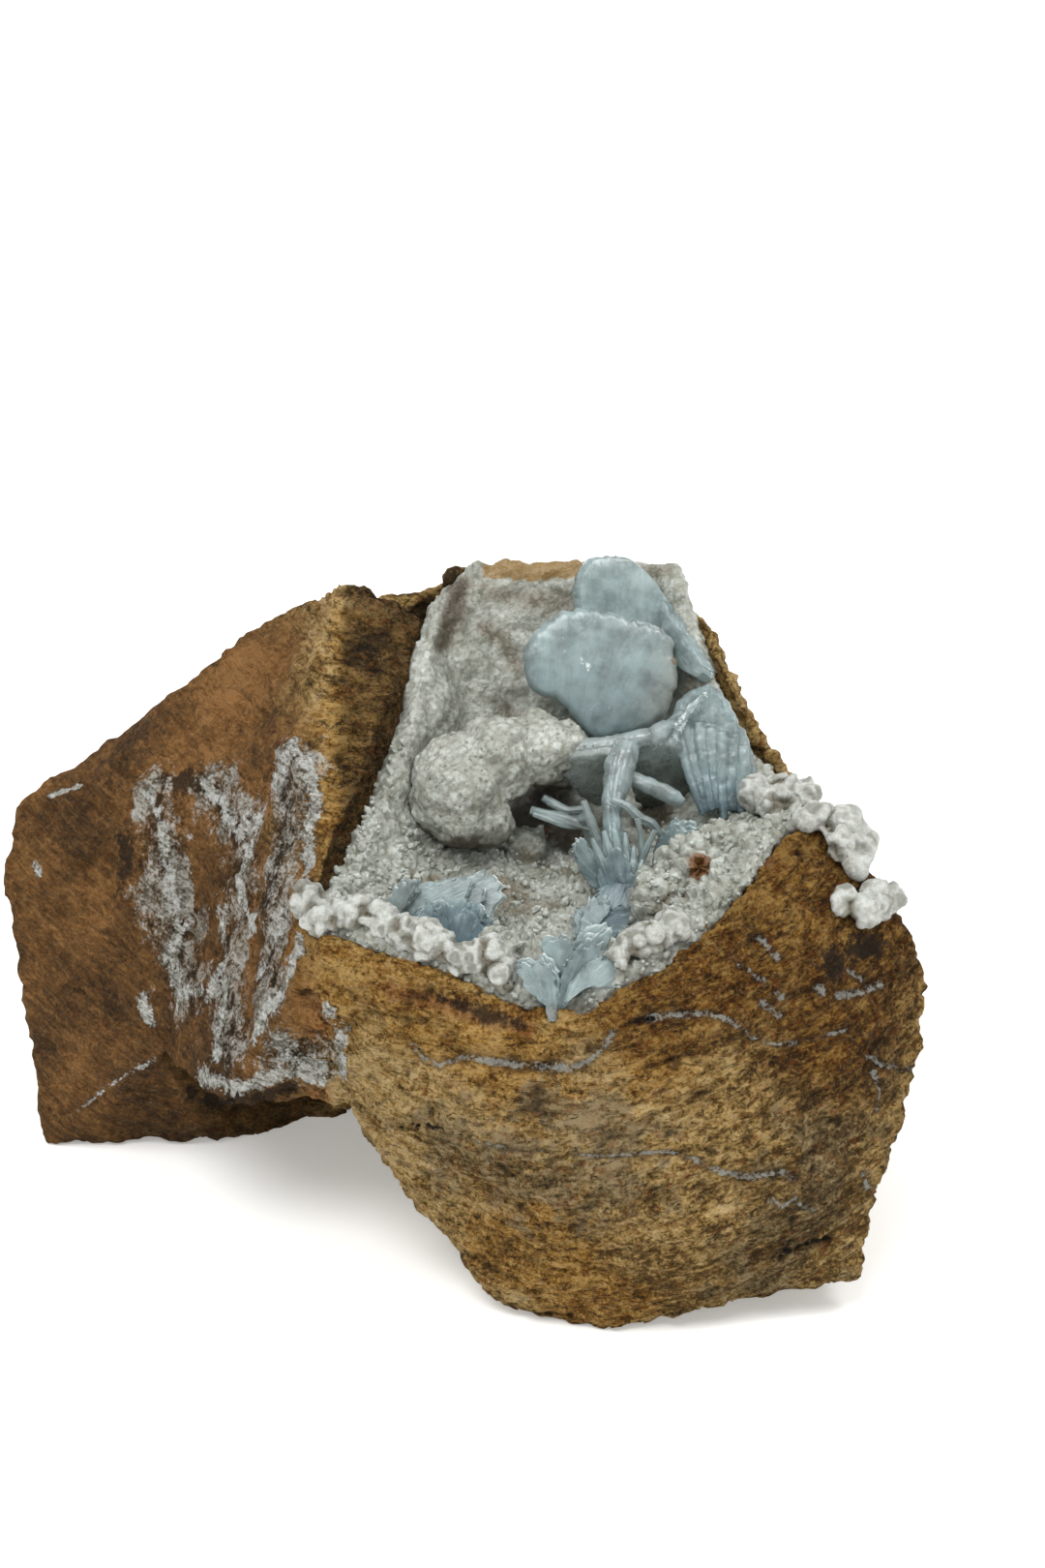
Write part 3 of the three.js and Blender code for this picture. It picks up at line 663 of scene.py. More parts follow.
# The rock. Its markings are strokes: half a width in mm, and pixels of the photograph they pass.
ROCK_VOXEL = 0.65
SIDE_CLOUDS = 1.6  # how much the rock's sides and back go from light to dark
CHALK_GAPS = 0.55  # the higher, the less of a chalk region is covered
STROKE_STEP = 6  # pixels between the points of a stroke
FRONT_VEINS = [
    (0.42, (426, 1079), (436, 1093), (452, 1101), (470, 1095), (485, 1091)),
    (0.5, (485, 1091), (500, 1096), (520, 1098), (557, 1101), (590, 1104), (604, 1100)),
    (0.6, (505, 1096), (535, 1100)),
    (0.6, (556, 1101), (592, 1105)),
    (0.45, (604, 1100), (615, 1093), (626, 1080), (634, 1066)),
    (0.5, (668, 1053), (696, 1049), (735, 1047), (757, 1055)),
    (0.35, (757, 1055), (777, 1072), (803, 1080), (836, 1074), (878, 1064)),
    (0.45, (893, 1093), (906, 1092), (915, 1101), (948, 1106)),
    (0.26, (470, 1176), (518, 1186), (557, 1189), (613, 1195)),
    (0.3, (613, 1195), (655, 1192), (692, 1190), (720, 1199)),
    (0.5, (720, 1199), (745, 1211), (775, 1216), (808, 1211), (825, 1219)),
    (0.5, (796, 1240), (812, 1247), (822, 1240)),
    (0.45, (828, 1245), (840, 1250)),
    (0.5, (788, 967), (796, 980), (805, 990)),
    (0.4, (765, 997), (772, 1001)),
    (0.5, (781, 1008), (790, 1012)),
    (0.5, (802, 1027), (809, 1030)),
    (0.6, (788, 1036), (805, 1048)),
    (0.6, (845, 1020), (850, 1025)),
    (0.6, (866, 1028), (890, 1026), (910, 1018)),
    (0.5, (880, 1003), (893, 1012)),
    (0.4, (906, 1108), (909, 1147)),
    (0.6, (893, 1215), (898, 1228)),
]
# Cracks: dents in the relief, darkened with painted shade.
CRACKS = [
    (0.45, (358, 1138), (380, 1150), (403, 1164), (430, 1165)),
    (0.55, (440, 1164), (452, 1167)),
    (0.3, (452, 1167), (482, 1178)),
    (0.6, (652, 1055), (664, 1054), (676, 1053)),
    (0.5, (808, 1300), (837, 1288), (860, 1281)),
    (0.3, (736, 1311), (780, 1303)),
    (0.5, (700, 1340), (735, 1334)),
]
CHALK_STROKES = [
    (1.3, (300, 770), (317, 790), (327, 820), (321, 850), (315, 883), (318, 913)),
    (1.2, (300, 770), (293, 793), (283, 807)),
    (2.0, (215, 815), (233, 840), (247, 862), (262, 850)),
    (1.0, (157, 823), (167, 850), (170, 890), (180, 940)),
    (1.5, (257, 877), (247, 903), (250, 927), (260, 953)),
    (1.2, (293, 947), (280, 973), (267, 1007)),
    (1.2, (310, 970), (300, 1003), (283, 1030), (270, 1060), (263, 1073)),
    (1.7, (187, 960), (177, 997), (187, 1027), (213, 1023), (233, 1017)),
    (1.2, (227, 957), (230, 1000), (233, 1033), (227, 1067), (223, 1093)),
    (2.4, (288, 1075), (310, 1100), (330, 1107)),
    (1.4, (343, 1047), (350, 1073), (353, 1100)),
    (1.5, (205, 1112), (240, 1122), (262, 1120)),
    (1.0, (300, 1110), (330, 1120), (352, 1108)),
    (1.0, (147, 1030), (157, 1060)),
    (0.45, (80, 1147), (110, 1123), (160, 1093)),
    (0.7, (36, 895), (40, 903)),
    (0.5, (53, 823), (80, 810)),
    (1.3, (240, 1130), (262, 1118), (290, 1112)),
]
CHALK_REGIONS = [
    (5.5, (160, 830), (170, 900), (172, 950)),
    (7, (185, 960), (200, 1020)),
    (6.5, (228, 820), (252, 865)),
    (7, (250, 900), (242, 960), (235, 1020), (240, 1070)),
    (6, (302, 800), (294, 870), (285, 950), (270, 1030)),
    (5, (300, 1095), (340, 1085)),
]
# Dark patches. The stroke by the crust at the top left and the one under the keel are painted
# shade.
DARK_STROKES = [
    (3.4, (286, 805), (298, 840), (290, 880), (272, 930)),
    (2.4, (165, 806), (207, 810)),
    (2.4, (128, 870), (126, 925)),
    (3.2, (470, 600), (463, 630), (455, 650)),
    (2.4, (196, 1128), (236, 1143), (300, 1125)),
    (2.0, (318, 925), (330, 935)),
    (2.6, (850, 1000), (880, 985), (905, 975)),
    (1.4, (440, 1030), (490, 1044), (540, 1060)),
    (1.2, (716, 952), (700, 970)),
]
GOLD_STROKES = [
    (9, (330, 1000), (400, 1010), (470, 1040), (540, 1065)),
    (8, (790, 880), (750, 940), (700, 990), (650, 1030)),
    (6, (395, 690), (380, 780), (350, 860)),
    (6, (240, 1060), (250, 1100)),
    (7, (560, 1290), (620, 1350)),
]
PEAK_STROKES = [
    (11, (840, 900), (800, 950), (760, 990)),
    (10, (900, 960), (880, 1010), (860, 1060)),
    (7, (700, 1000), (660, 1040)),
]
RUST_STROKES = [
    (4.5, (312, 1038), (332, 1050), (322, 1070)),
    (2.0, (400, 1024), (450, 1036), (500, 1050), (545, 1064)),
    (2.4, (738, 925), (724, 950), (702, 975), (680, 1000)),
    (2.5, (290, 1150), (330, 1130)),
    (2.2, (768, 868), (784, 872), (796, 892)),
]
# Lighter regions: partly paler stone, partly painted light where the faces are most lit.
PALE_AND_LIT_STROKES = [
    (14, (420, 1140), (500, 1135), (580, 1140), (650, 1150)),
    (9, (330, 1000), (400, 1030), (480, 1060)),
    (7, (300, 1085), (345, 1110), (350, 1130)),
    (14, (330, 680), (250, 740), (190, 790)),
    (9, (760, 930), (790, 900), (800, 880)),
]
# Darker regions: partly darker stone, partly painted shade on the right side and under the left
# wing.
DIM_AND_SHADED_STROKES = [
    (12, (880, 1080), (860, 1180), (840, 1280)),
    (12, (900, 960), (920, 1040)),
    (10, (740, 1080), (780, 1150)),
    (12, (60, 1150), (150, 1150), (250, 1130)),
    (9, (700, 1300), (780, 1300)),
]
GREY_STROKES = [
    (7, (470, 1190), (560, 1220), (640, 1225)),
    (9, (860, 1180), (850, 1240), (800, 1300)),
    (8, (900, 960), (890, 1040), (900, 1100)),
    (5, (560, 1150), (640, 1160)),
]


def stroke_reader(places, faces):
    """Gives the function that finds how near a surface's places are to strokes on it.

    It says 1 on the middle of a stroke, 0 at its half width, and -1 beyond twice that. Where the
    sight through a pixel misses the surface, the stroke has a gap.
    """
    tree = BVHTree.FromPolygons(places.tolist(), faces)
    eye = camera.location / MM

    def nearness(strokes):
        most = np.full(len(places), -1.0)
        for half_width, *pixels in strokes:
            for start, end in zip(pixels, pixels[1:]):
                steps = max(1, round(math.dist(start, end) / STROKE_STEP))
                for share in np.linspace(0, 1, steps + 1):
                    pixel = np.array(start) * (1 - share) + np.array(end) * share
                    hit = tree.ray_cast(eye, sight(pixel))[0]
                    if hit:
                        distance = np.linalg.norm(places - np.array(hit), axis=1)
                        most = np.maximum(most, 1 - distance / half_width)
        return most

    return nearness


def layered_places(places, squeeze):
    """Places along the rock's bent layers, with the heights across them multiplied."""
    bent = places.copy()
    bent[:, 2] = squeeze * (bent[:, 2] - LAYER_BEND * (bent[:, 0] - LAYER_MIDDLE) ** 2)
    return bent


def distance_to(node, places):
    """Each place's distance to a CAD node's surface, in mm."""
    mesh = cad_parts[node].data
    points = [vertex.co / MM for vertex in mesh.vertices]
    tree = BVHTree.FromPolygons(points, [tuple(face.vertices) for face in mesh.polygons])
    return np.array([tree.find_nearest(place)[3] for place in places.tolist()])


# Bounds of the rock's regions: a value goes from 0 at the first to 1 at the second.
HOLLOW_SIDE_X = (4, -3)
HOLLOW_SIDE_FACING = (0.1, 0.5)
RUGGED_LEFT_X = (-40, -26)
RUGGED_RIGHT_X = (4, -8)
SIDES_Y = (-8, 12)
BACK_Y = (15, 30)
RED_FRONT_X = (-13, -22)
RED_BACK_X = (-8, -30)
CLEAR_OF_CRUST = (1, 3)
CLEAR_OF_SLOT_X = (6, 14)
CRUST_COVER = 0.35  # mm, the least relief where the rock meets the crust


def red_share(places):
    """1 on the red left wing, up to its wavy border with the olive rock."""
    back = smooth_step(places[:, 1], *BACK_Y)
    border = places[:, 0] + (4 + 5 * back) * swells(places, 9, 4, seed=5)
    start, end = np.outer(RED_FRONT_X, 1 - back) + np.outer(RED_BACK_X, back)
    return smooth_step(border, start, end)


def rock_relief(places, red, veins, cracks):
    """How far the rock's skin stands out from the CAD's surface, in mm."""
    x = places[:, 0]
    rugged = smooth_step(x, *RUGGED_RIGHT_X) * smooth_step(x, *RUGGED_LEFT_X)
    relief = 0.55 * swells(places, 8, 3, seed=1)
    relief += 0.45 * (1 - 0.7 * red) * swells(layered_places(places, 4), 8, 4, seed=2)
    relief += 0.18 * swells(places, 1.7, 2, seed=3)
    relief += 0.7 * rugged * swells(places, 4, 4, seed=6)
    pushed = layered_places(places, 2.2) + 1.5 * swells(places, 4, 2, seed=7)[:, None]
    relief += (0.75 - 0.45 * red) * (grains(pushed, 3.6, seed=8) - 0.6)
    relief += (0.35 - 0.2 * red) * (grains(pushed, 1.7, seed=9) - 0.6)
    relief -= 0.5 * smooth_step(swells(places, 3.2, 2, seed=4), 0.35, 0.7)
    relief -= 0.7 * smooth_step(cracks, 0, 0.7) + 0.2 * smooth_step(veins, -0.4, 0.6)
    off_crust = smooth_step(distance_to("quartz_crust", places), *CLEAR_OF_CRUST)
    off_slot = off_crust + smooth_step(x, *CLEAR_OF_SLOT_X)
    return np.maximum(relief, CRUST_COVER - 3 * off_slot)


def make_rock():
    places, normals, faces = main_part(*fine_surface("matrix", ROCK_VOXEL, smoothing=4))
    x, y, _ = places.T
    near = stroke_reader(places, faces)
    veins, cracks = near(FRONT_VEINS), near(CRACKS)
    red = red_share(places)
    relief = rock_relief(places, red, veins, cracks)
    moved = places + normals * relief[:, None]
    moved[:, 2] = np.maximum(moved[:, 2], 0)
    chalk_region = near(CHALK_REGIONS)
    pale_and_lit = smooth_step(near(PALE_AND_LIT_STROKES), -0.6, 0.7)
    dim_and_shaded = smooth_step(near(DIM_AND_SHADED_STROKES), -0.6, 0.7)
    side_clouds = SIDE_CLOUDS * smooth_step(y, *SIDES_Y) * swells(places, 17, 3, seed=10)
    shape = Shape(
        moved,
        faces,
        vein=veins,
        crack=cracks,
        chalk=near(CHALK_STROKES),
        film=1.6 * smooth_step(chalk_region, -0.3, 0.7) - 0.6 - CHALK_GAPS,
        dark=np.maximum(near(DARK_STROKES), 0.5 * chalk_region),
        gold=near(GOLD_STROKES),
        grey=near(GREY_STROKES),
        rust=near(RUST_STROKES),
        peak=smooth_step(near(PEAK_STROKES), -0.4, 0.6),
        red=red,
        # painted shade on the hollow's side wall, which faces right
        hollow_side_shade=smooth_step(normals[:, 0], *HOLLOW_SIDE_FACING) * smooth_step(x, *HOLLOW_SIDE_X),
        # lighter and darker regions, partly painted light and shade
        light=pale_and_lit - dim_and_shaded + side_clouds,
        # painted shade on surfaces that face down, except where the rock is painted lighter
        shaded=smooth_step(normals[:, 2], -0.25, -0.6) * (1 - pale_and_lit),
        # painted shade where the relief sinks deepest
        hollow_shade=smooth_step(-relief, 0.35, 1.2),
    )
    shape.piece("matrix", "rock", rock_material())


# Quartz: a crust and a knob of small grown-together crystals
OPENING = np.array((0, -0.47, 0.88))  # the way the hollow opens
INTO_WALL = np.array((0, 0.5, 0.87))  # the way the edges of the crust face
POINT_SIDES = 6
POINT_LEAN = 0.45  # how far the small crystals lean away from upright


def grow_points(shape, places, normals, count, size, seed):
    """Sets small six-sided crystals on a surface, each leaning its own way."""
    random = np.random.default_rng(seed)
    turns = np.arange(POINT_SIDES) * 2 * math.pi / POINT_SIDES
    faces = []
    for side in range(POINT_SIDES):
        after = (side + 1) % POINT_SIDES
        faces.append((side, after, after + POINT_SIDES, side + POINT_SIDES))
        faces.append((side + POINT_SIDES, after + POINT_SIDES, 2 * POINT_SIDES))
    for number in random.choice(len(places), count, replace=False):
        axis = unit(normals[number] + random.normal(0, POINT_LEAN, 3))
        across = unit(np.cross(axis, random.normal(0, 1, 3)))
        other = np.cross(axis, across)
        radius = size * random.uniform(0.3, 0.6)
        circle = radius * (np.outer(np.cos(turns), across) + np.outer(np.sin(turns), other))
        foot = places[number] - axis * size * 0.4
        shoulder = foot + axis * size * random.uniform(0.6, 1.0)
        top = shoulder + axis * radius * 1.2
        shape.add(np.vstack([foot + circle, shoulder + circle, top]), faces, crease=0.1)


CRUST_VOXEL = 0.42
QUARTZ_CREASE = 35  # degrees, beyond which an edge stays sharp
LUMP_CREASE = 50
CRUST_FRONT_Y = (12, -16)
EDGE_FACING = (0.2, 0.7)
MOUND_PLACE = (28.5, -11.0, 44.0)
MOUND_REACH = 10
MOUND_CORE = 6
POINTS_END = 4  # the small points grow on the floor, no further back than this
POINTS = [(900, 0.5, 14), (400, 0.9, 15)]  # how many small points, their size and their seed

# The crust's upper edge is a brown cap above this height and between these places.
CAP_Z = (67.6, 68.6)
CAP_LEFT_X = (2, 5)
CAP_RIGHT_X = (17, 15)

# Spots on the crust: x, y, z and reach
# Painted shade on the crust under the knob and the arch.
PAINTED_SHADE_PLACES = [
    (11, 10, 42.5, 6), (5, 6, 41.5, 5), (-1.5, 3, 43, 4.5), (15, 6, 42.5, 5), (24, 5, 45, 4),
    (22, -8, 41, 2),
]
FLOOR_STAINS = [
    (6, -8, 40, 7), (-3, -8, 41, 5), (16, -12, 38, 3.5), (28.5, -14, 47, 2.2), (24, -18, 42, 3),
]
PITS = [(29.15, -14.1, 46.4, 2.1)]
CRUST_STAINS = [
    (2.4, (478, 606), (470, 630), (462, 660)),
    (2.0, (500, 612), (550, 620), (590, 625)),
    (1.6, (500, 650), (520, 660), (535, 690)),
    (1.6, (520, 730), (535, 745)),
    (1.2, (716, 700), (712, 716)),
    (1.6, (540, 880), (565, 900), (600, 905)),
    (1.6, (535, 945), (580, 935)),
    (1.6, (690, 932), (716, 926)),
    (1.2, (640, 590), (690, 590)),
]
CRUST_RUST = [(0.5, (560, 862), (566, 858))]
CRUST_SHADE = [(2.2, (474, 606), (466, 640), (454, 665))]


def make_crust(material):
    places, normals, faces = fine_surface("quartz_crust", CRUST_VOXEL, smoothing=2)
    x, y, z = places.T
    near = stroke_reader(places, faces)
    mound = around(places, MOUND_PLACE, MOUND_REACH, MOUND_CORE)
    front = smooth_step(y, *CRUST_FRONT_Y)
    edge = smooth_step(normals @ INTO_WALL, *EDGE_FACING)
    fine = grains(places, 0.9, seed=11)
    coarse = grains(places, 2.0, seed=12)
    relief = (0.2 + 0.2 * front) * fine * (1 - mound) + (0.55 * coarse + 0.2 * fine) * mound
    relief += edge * (0.5 * coarse + 0.2 * fine - 0.3)
    relief += 0.5 * front * coarse + 0.55 * swells(places, 3.2, 4, seed=13)
    moved = places + normals * relief[:, None]
    rust = near(CRUST_RUST) + 0.7 * swells(places, 1.0, 3, seed=16)
    pit = np.maximum(spots(places, PITS, 0.5), smooth_step(rust, 0.1, 0.9))
    height = z + 0.5 * fine + 0.5 * swells(places, 3, 3, seed=17)
    shape = Shape(
        moved,
        faces,
        crease=1 - fine * (1 - mound) - coarse * mound,
        stain=np.maximum(spots(places, FLOOR_STAINS, 0.3), 0.5 + 0.5 * near(CRUST_STAINS)),
        pit=pit,
        # painted shade under the knob and the arch, and in the crevice by the rock
        murk=np.maximum(
            spots(places, PAINTED_SHADE_PLACES, 0.4), 0.8 * smooth_step(near(CRUST_SHADE), 0, 0.8)
        ),
        pepper=0.3 * mound,
        cap=smooth_step(height, *CAP_Z)
        * smooth_step(x, *CAP_LEFT_X)
        * smooth_step(x, *CAP_RIGHT_X),
    )
    floor = np.flatnonzero((normals @ OPENING > 0.6) & (y < POINTS_END) & (pit <= 0))
    for count, size, seed in POINTS:
        grow_points(shape, moved[floor], normals[floor], count, size, seed)
    shape.piece("quartz_crust", "quartz", material, QUARTZ_CREASE)


KNOB_VOXEL = 0.32
KNOB_LUMPS = [
    (10.8, 4.2, 54.6, 2.3), (12.1, 4.1, 54.7, 1.8), (11.6, 4.8, 53, 2), (13.2, 4.4, 54.9, 1.2),
    (10, 4.4, 51.6, 1.6),
]


def make_knob(material):
    places, normals, faces = refined(with_lumps("quartz_knob", KNOB_LUMPS), KNOB_VOXEL, smoothing=2)
    warts = grains(places, 1.05, seed=21)
    small = grains(places, 0.55, seed=22)
    relief = 0.24 * warts + 0.14 * small + 0.5 * swells(places, 3, 2, seed=23)
    below = smooth_step(normals[:, 2], -0.2, -0.7)
    moved = places + normals * relief[:, None]
    # painted shade on the knob's underside
    shape = Shape(moved, faces, crease=1 - warts, murk=0.8 * below, pepper=1 - below)
    shape.piece("quartz_knob", "quartz", material, LUMP_CREASE)


NODULE_VOXEL = 0.3
NODULE_SEED = 23
# The size of the lumps in mm
NODULES = {
    "front_rim_nodules": 1.9,
    "right_rim_nodules": 1.8,
    "back_rim_nodules": 2.2,
    "upper_outer_nodules": 2.9,
    "lower_outer_nodules": 2.6,
}


def make_nodules(node, lump, seed, material):
    places, normals, faces = fine_surface(node, NODULE_VOXEL, smoothing=3)
    cups = domes(places, lump, seed=seed)
    small = domes(places, 0.45 * lump, seed=seed + 0.3)
    sugar = grains(places, 0.45, seed=seed + 0.5)
    relief = 0.5 * lump * cups + 0.2 * small + 0.12 * sugar
    relief += 0.6 * swells(places, 3.4, 3, seed=seed)
    relief -= 0.35 * lump + 0.15 * lump * smooth_step(cups, 0.9, 1.0)
    rim = smooth_step(cups, 0.55, 0.75) * smooth_step(cups, 0.98, 0.85) - 0.4
    moved = places + normals * relief[:, None]
    shape = Shape(moved, faces, crease=1 - 0.8 * cups - 0.2 * small, rim=rim)
    shape.piece(node, "nodule", material, LUMP_CREASE)


# Barite
@dataclass
class Sheet:
    """A flat crystal of plates, on the plane through a place that faces a given way.

    Its outline is what the pixels of the photograph cut out of that plane, and its fibres and ribs
    spread from a root pixel. The values after the layers shape and tint it.
    """

    place: tuple
    face: tuple
    root: tuple
    thickness: float
    outline: list
    layers: int = 1
    steps: float = 0.06  # how much shorter each plate is than the one behind it
    bulge: float = 0.15  # 0 for a flat plate, 1 for a lens
    wave: float = 0.14  # mm
    ribs: float = 0  # mm
    ragged: float = 0.3  # mm that the teeth of the rim stand out
    deep: float = 0  # blueness
    milky: float = 0
    # painted shade, growing towards the far end of the crystal
    murk: float = 0
    fibrous: float = 0.7
    # painted highlight along the rim
    shine: float = 1  # whiteness of the rim
    # painted highlight all over
    bright: float = 0  # whiteness all over
    dust_side: float = 0  # dust on one side, its sign saying which
    # frosted spots, some of them painted glints
    frost_and_glints: tuple = ()  # white spots, each a pixel and a reach in mm
    rusty: tuple = ()


UPPER_DISC = Sheet(
    place=(20.6, 20.6, 63.2), face=(0.3, -0.82, 0.48), root=(640, 760), thickness=3.4,
    ribs=0.06, bulge=0.6, deep=0.35, fibrous=0.3, shine=0.5, ragged=0.1,
    outline=[
        (597, 592), (607, 578), (628, 574), (647, 577), (663, 588), (677, 603), (690, 623),
        (698, 640), (690, 665), (660, 680), (620, 670), (596, 640), (592, 610),
    ],
)
WALL_STRIP = Sheet(
    place=(25.7, 19.65, 62.66), face=(-0.6, -0.65, 0.44), root=(640, 560), thickness=2.6,
    ribs=0.1, bulge=0.4, deep=0.5, fibrous=0.4, shine=0.6,
    outline=[
        (655, 584), (672, 595), (690, 620), (702, 638), (713, 657), (726, 675), (737, 696),
        (730, 705), (712, 697), (697, 686), (684, 668), (664, 645), (648, 610),
    ],
)
LARGE_DISC = Sheet(
    place=(16.2, 15.2, 60.4), face=(0.05, -0.9, 0.44), root=(560, 900), thickness=3.4,
    ribs=0.06, bulge=0.85, deep=0.5, milky=0.3, dust_side=-1.2, fibrous=0.22, shine=0.4, ragged=0.2,
    # White spots; the four along the upper edge, from (612, 641) on, are painted glints.
    frost_and_glints=[
        ((605, 690), 1.0), ((598, 684), 0.7), ((582, 662), 0.8), ((582, 675), 0.8),
        ((578, 687), 0.7), ((560, 655), 0.5), ((612, 641), 0.5), ((640, 645), 0.5),
        ((663, 648), 0.5), ((677, 651), 0.7),
    ],
    rusty=[((697, 683), 0.9), ((566, 702), 0.5)],
    outline=[
        (543, 667), (550, 655), (565, 642), (583, 631), (607, 628), (633, 633), (657, 640),
        (683, 648), (695, 663), (699, 680), (700, 702), (697, 718), (690, 735), (678, 748),
        (657, 757), (640, 762), (623, 765), (609, 759), (595, 745), (586, 732), (573, 720),
        (560, 720), (550, 714), (542, 698), (540, 680),
    ],
)
# A narrow bevel along the large disc's upper edge, whitened as a painted highlight.
DISC_BEVEL = Sheet(
    place=(16, 13.6, 61.2), face=(0.05, -0.75, 0.66), root=(640, 900), thickness=1,
    bulge=0.5, deep=0.1, bright=0.2, fibrous=0.3,
    outline=[
        (600, 634), (622, 634), (650, 640), (680, 648), (688, 655), (670, 656), (645, 652),
        (618, 648), (602, 643),
    ],
)
CURTAIN = Sheet(
    place=(30.1, 5.5, 53.4), face=(-0.14, -0.85, 0.5), root=(728, 600), thickness=2,
    bulge=0.3, deep=0.3, wave=0.5,
    outline=[
        (697, 735), (697, 724), (712, 715), (732, 706), (746, 714), (760, 738), (771, 757),
        (779, 780), (780, 800), (775, 814), (764, 820), (750, 812), (736, 822), (724, 808),
        (712, 796), (702, 776), (696, 764), (693, 750),
    ],
)
# The webs under the arch hang in the hollow's shade, which is painted on them, the right one most.
ARCH_WEBS = [
    Sheet(
        place=(14, 3.5, 53.6), face=(0.05, -1, -0.55), root=(612, 700), thickness=1.6,
        bulge=0.3, deep=0.1, milky=0.9, murk=0.35,
        outline=[
            (572, 782), (586, 776), (604, 774), (625, 772), (642, 770), (640, 800), (632, 822),
            (618, 830), (604, 824), (594, 812), (580, 798),
        ],
    ),
    Sheet(
        place=(22.5, 4.9, 53.8), face=(0.1, -1, -0.4), root=(680, 740), thickness=1.6,
        bulge=0.3, deep=0.15, milky=0.5, murk=1.3,
        outline=[
            (652, 766), (670, 762), (690, 762), (704, 766), (715, 788), (725, 808), (731, 828),
            (724, 844), (706, 848), (690, 843), (670, 836), (655, 824), (649, 798),
        ],
    ),
]
SPRAY_SHEETS = [
    Sheet(
        place=(15.6, -8.7, 44.3), face=(0, -0.95, 0.2), root=(632, 922), thickness=1.3, layers=2,
        ribs=0.3, deep=0.5,
        outline=[
            (591, 873), (599, 863), (608, 872), (617, 888), (630, 903), (627, 923), (612, 916),
            (600, 903), (593, 888),
        ],
    ),
    Sheet(
        place=(19.4, -9.6, 43.6), face=(-0.2, -0.9, 0.3), root=(644, 950), thickness=2.4, layers=3,
        ribs=0.25, deep=0.7,
        outline=[
            (622, 880), (632, 870), (644, 872), (654, 888), (661, 904), (660, 922), (640, 932),
            (622, 924), (616, 898),
        ],
    ),
]
MOUND_SHEETS = [
    Sheet(
        place=(25.2, -6.3, 46.5), face=(-0.3, -0.9, 0.1), root=(678, 900), thickness=1.5, layers=3,
        ribs=0.2, deep=0.35, shine=0.5,
        outline=[
            (675, 893), (678, 870), (689, 855), (699, 845), (706, 851), (712, 849), (722, 852),
            (723, 862), (712, 872), (698, 884), (686, 894),
        ],
    ),
]
MIDDLE_SHEETS = [
    Sheet(
        place=(18.4, -12.3, 40.8), face=(0, -0.75, 0.65), root=(660, 880), thickness=2, layers=2,
        steps=0.1, ribs=0.12, deep=0.7, fibrous=1.1, ragged=0.5,
        outline=[
            (616, 924), (626, 916), (645, 916), (662, 918), (677, 921), (675, 931), (667, 941),
            (645, 944), (628, 946), (619, 938),
        ],
    ),
    Sheet(
        place=(15, -14.2, 40.5), face=(0, -0.8, 0.6), root=(636, 975), thickness=2.2, layers=3,
        steps=0.14, ribs=0.1, deep=0.4, ragged=0.5,
        outline=[
            (592, 966), (592, 946), (600, 931), (611, 926), (628, 925), (630, 934), (624, 944),
            (618, 955), (606, 964), (598, 970),
        ],
    ),
    Sheet(
        place=(19, -13.6, 40.2), face=(0.1, -0.8, 0.6), root=(560, 965), thickness=2.2, layers=2,
        steps=0.1, ribs=0.12, deep=0.9, murk=0.4, fibrous=1.1, ragged=0.5,
        outline=[
            (618, 955), (627, 942), (645, 938), (662, 938), (668, 942), (664, 950), (654, 958),
            (645, 967), (636, 973), (628, 968),
        ],
    ),
]
LEFT_SHEETS = [
    Sheet(
        place=(-6.6, -17.5, 43.4), face=(-0.5, -0.8, 0.3), root=(410, 990), thickness=2, layers=2,
        ribs=0.15, deep=0.2, milky=0.5,
        outline=[
            (402, 950), (402, 935), (409, 916), (416, 909), (431, 910), (429, 924), (421, 938),
            (415, 952),
        ],
    ),
    Sheet(
        place=(-1, -16.5, 43.5), face=(-0.1, -0.8, 0.55), root=(400, 960), thickness=2.8, layers=3,
        steps=0.14, deep=0.25, milky=0.3,
        outline=[
            (430, 912), (448, 909), (480, 904), (494, 897), (507, 902), (516, 910), (521, 924),
            (513, 942), (500, 957), (470, 958), (440, 956), (424, 952), (416, 948), (422, 928),
        ],
    ),
    Sheet(
        place=(-1.8, -19.8, 43), face=(-0.15, -0.85, 0.45), root=(468, 1010), thickness=2.8,
        layers=4, steps=0.1, ribs=0.1, deep=0.95, fibrous=1.0, ragged=0.4,
        outline=[
            (418, 954), (430, 940), (440, 932), (452, 931), (458, 926), (465, 932), (480, 931),
            (494, 934), (504, 942), (511, 953), (512, 962), (504, 970), (480, 972), (450, 970),
            (430, 965),
        ],
    ),
]
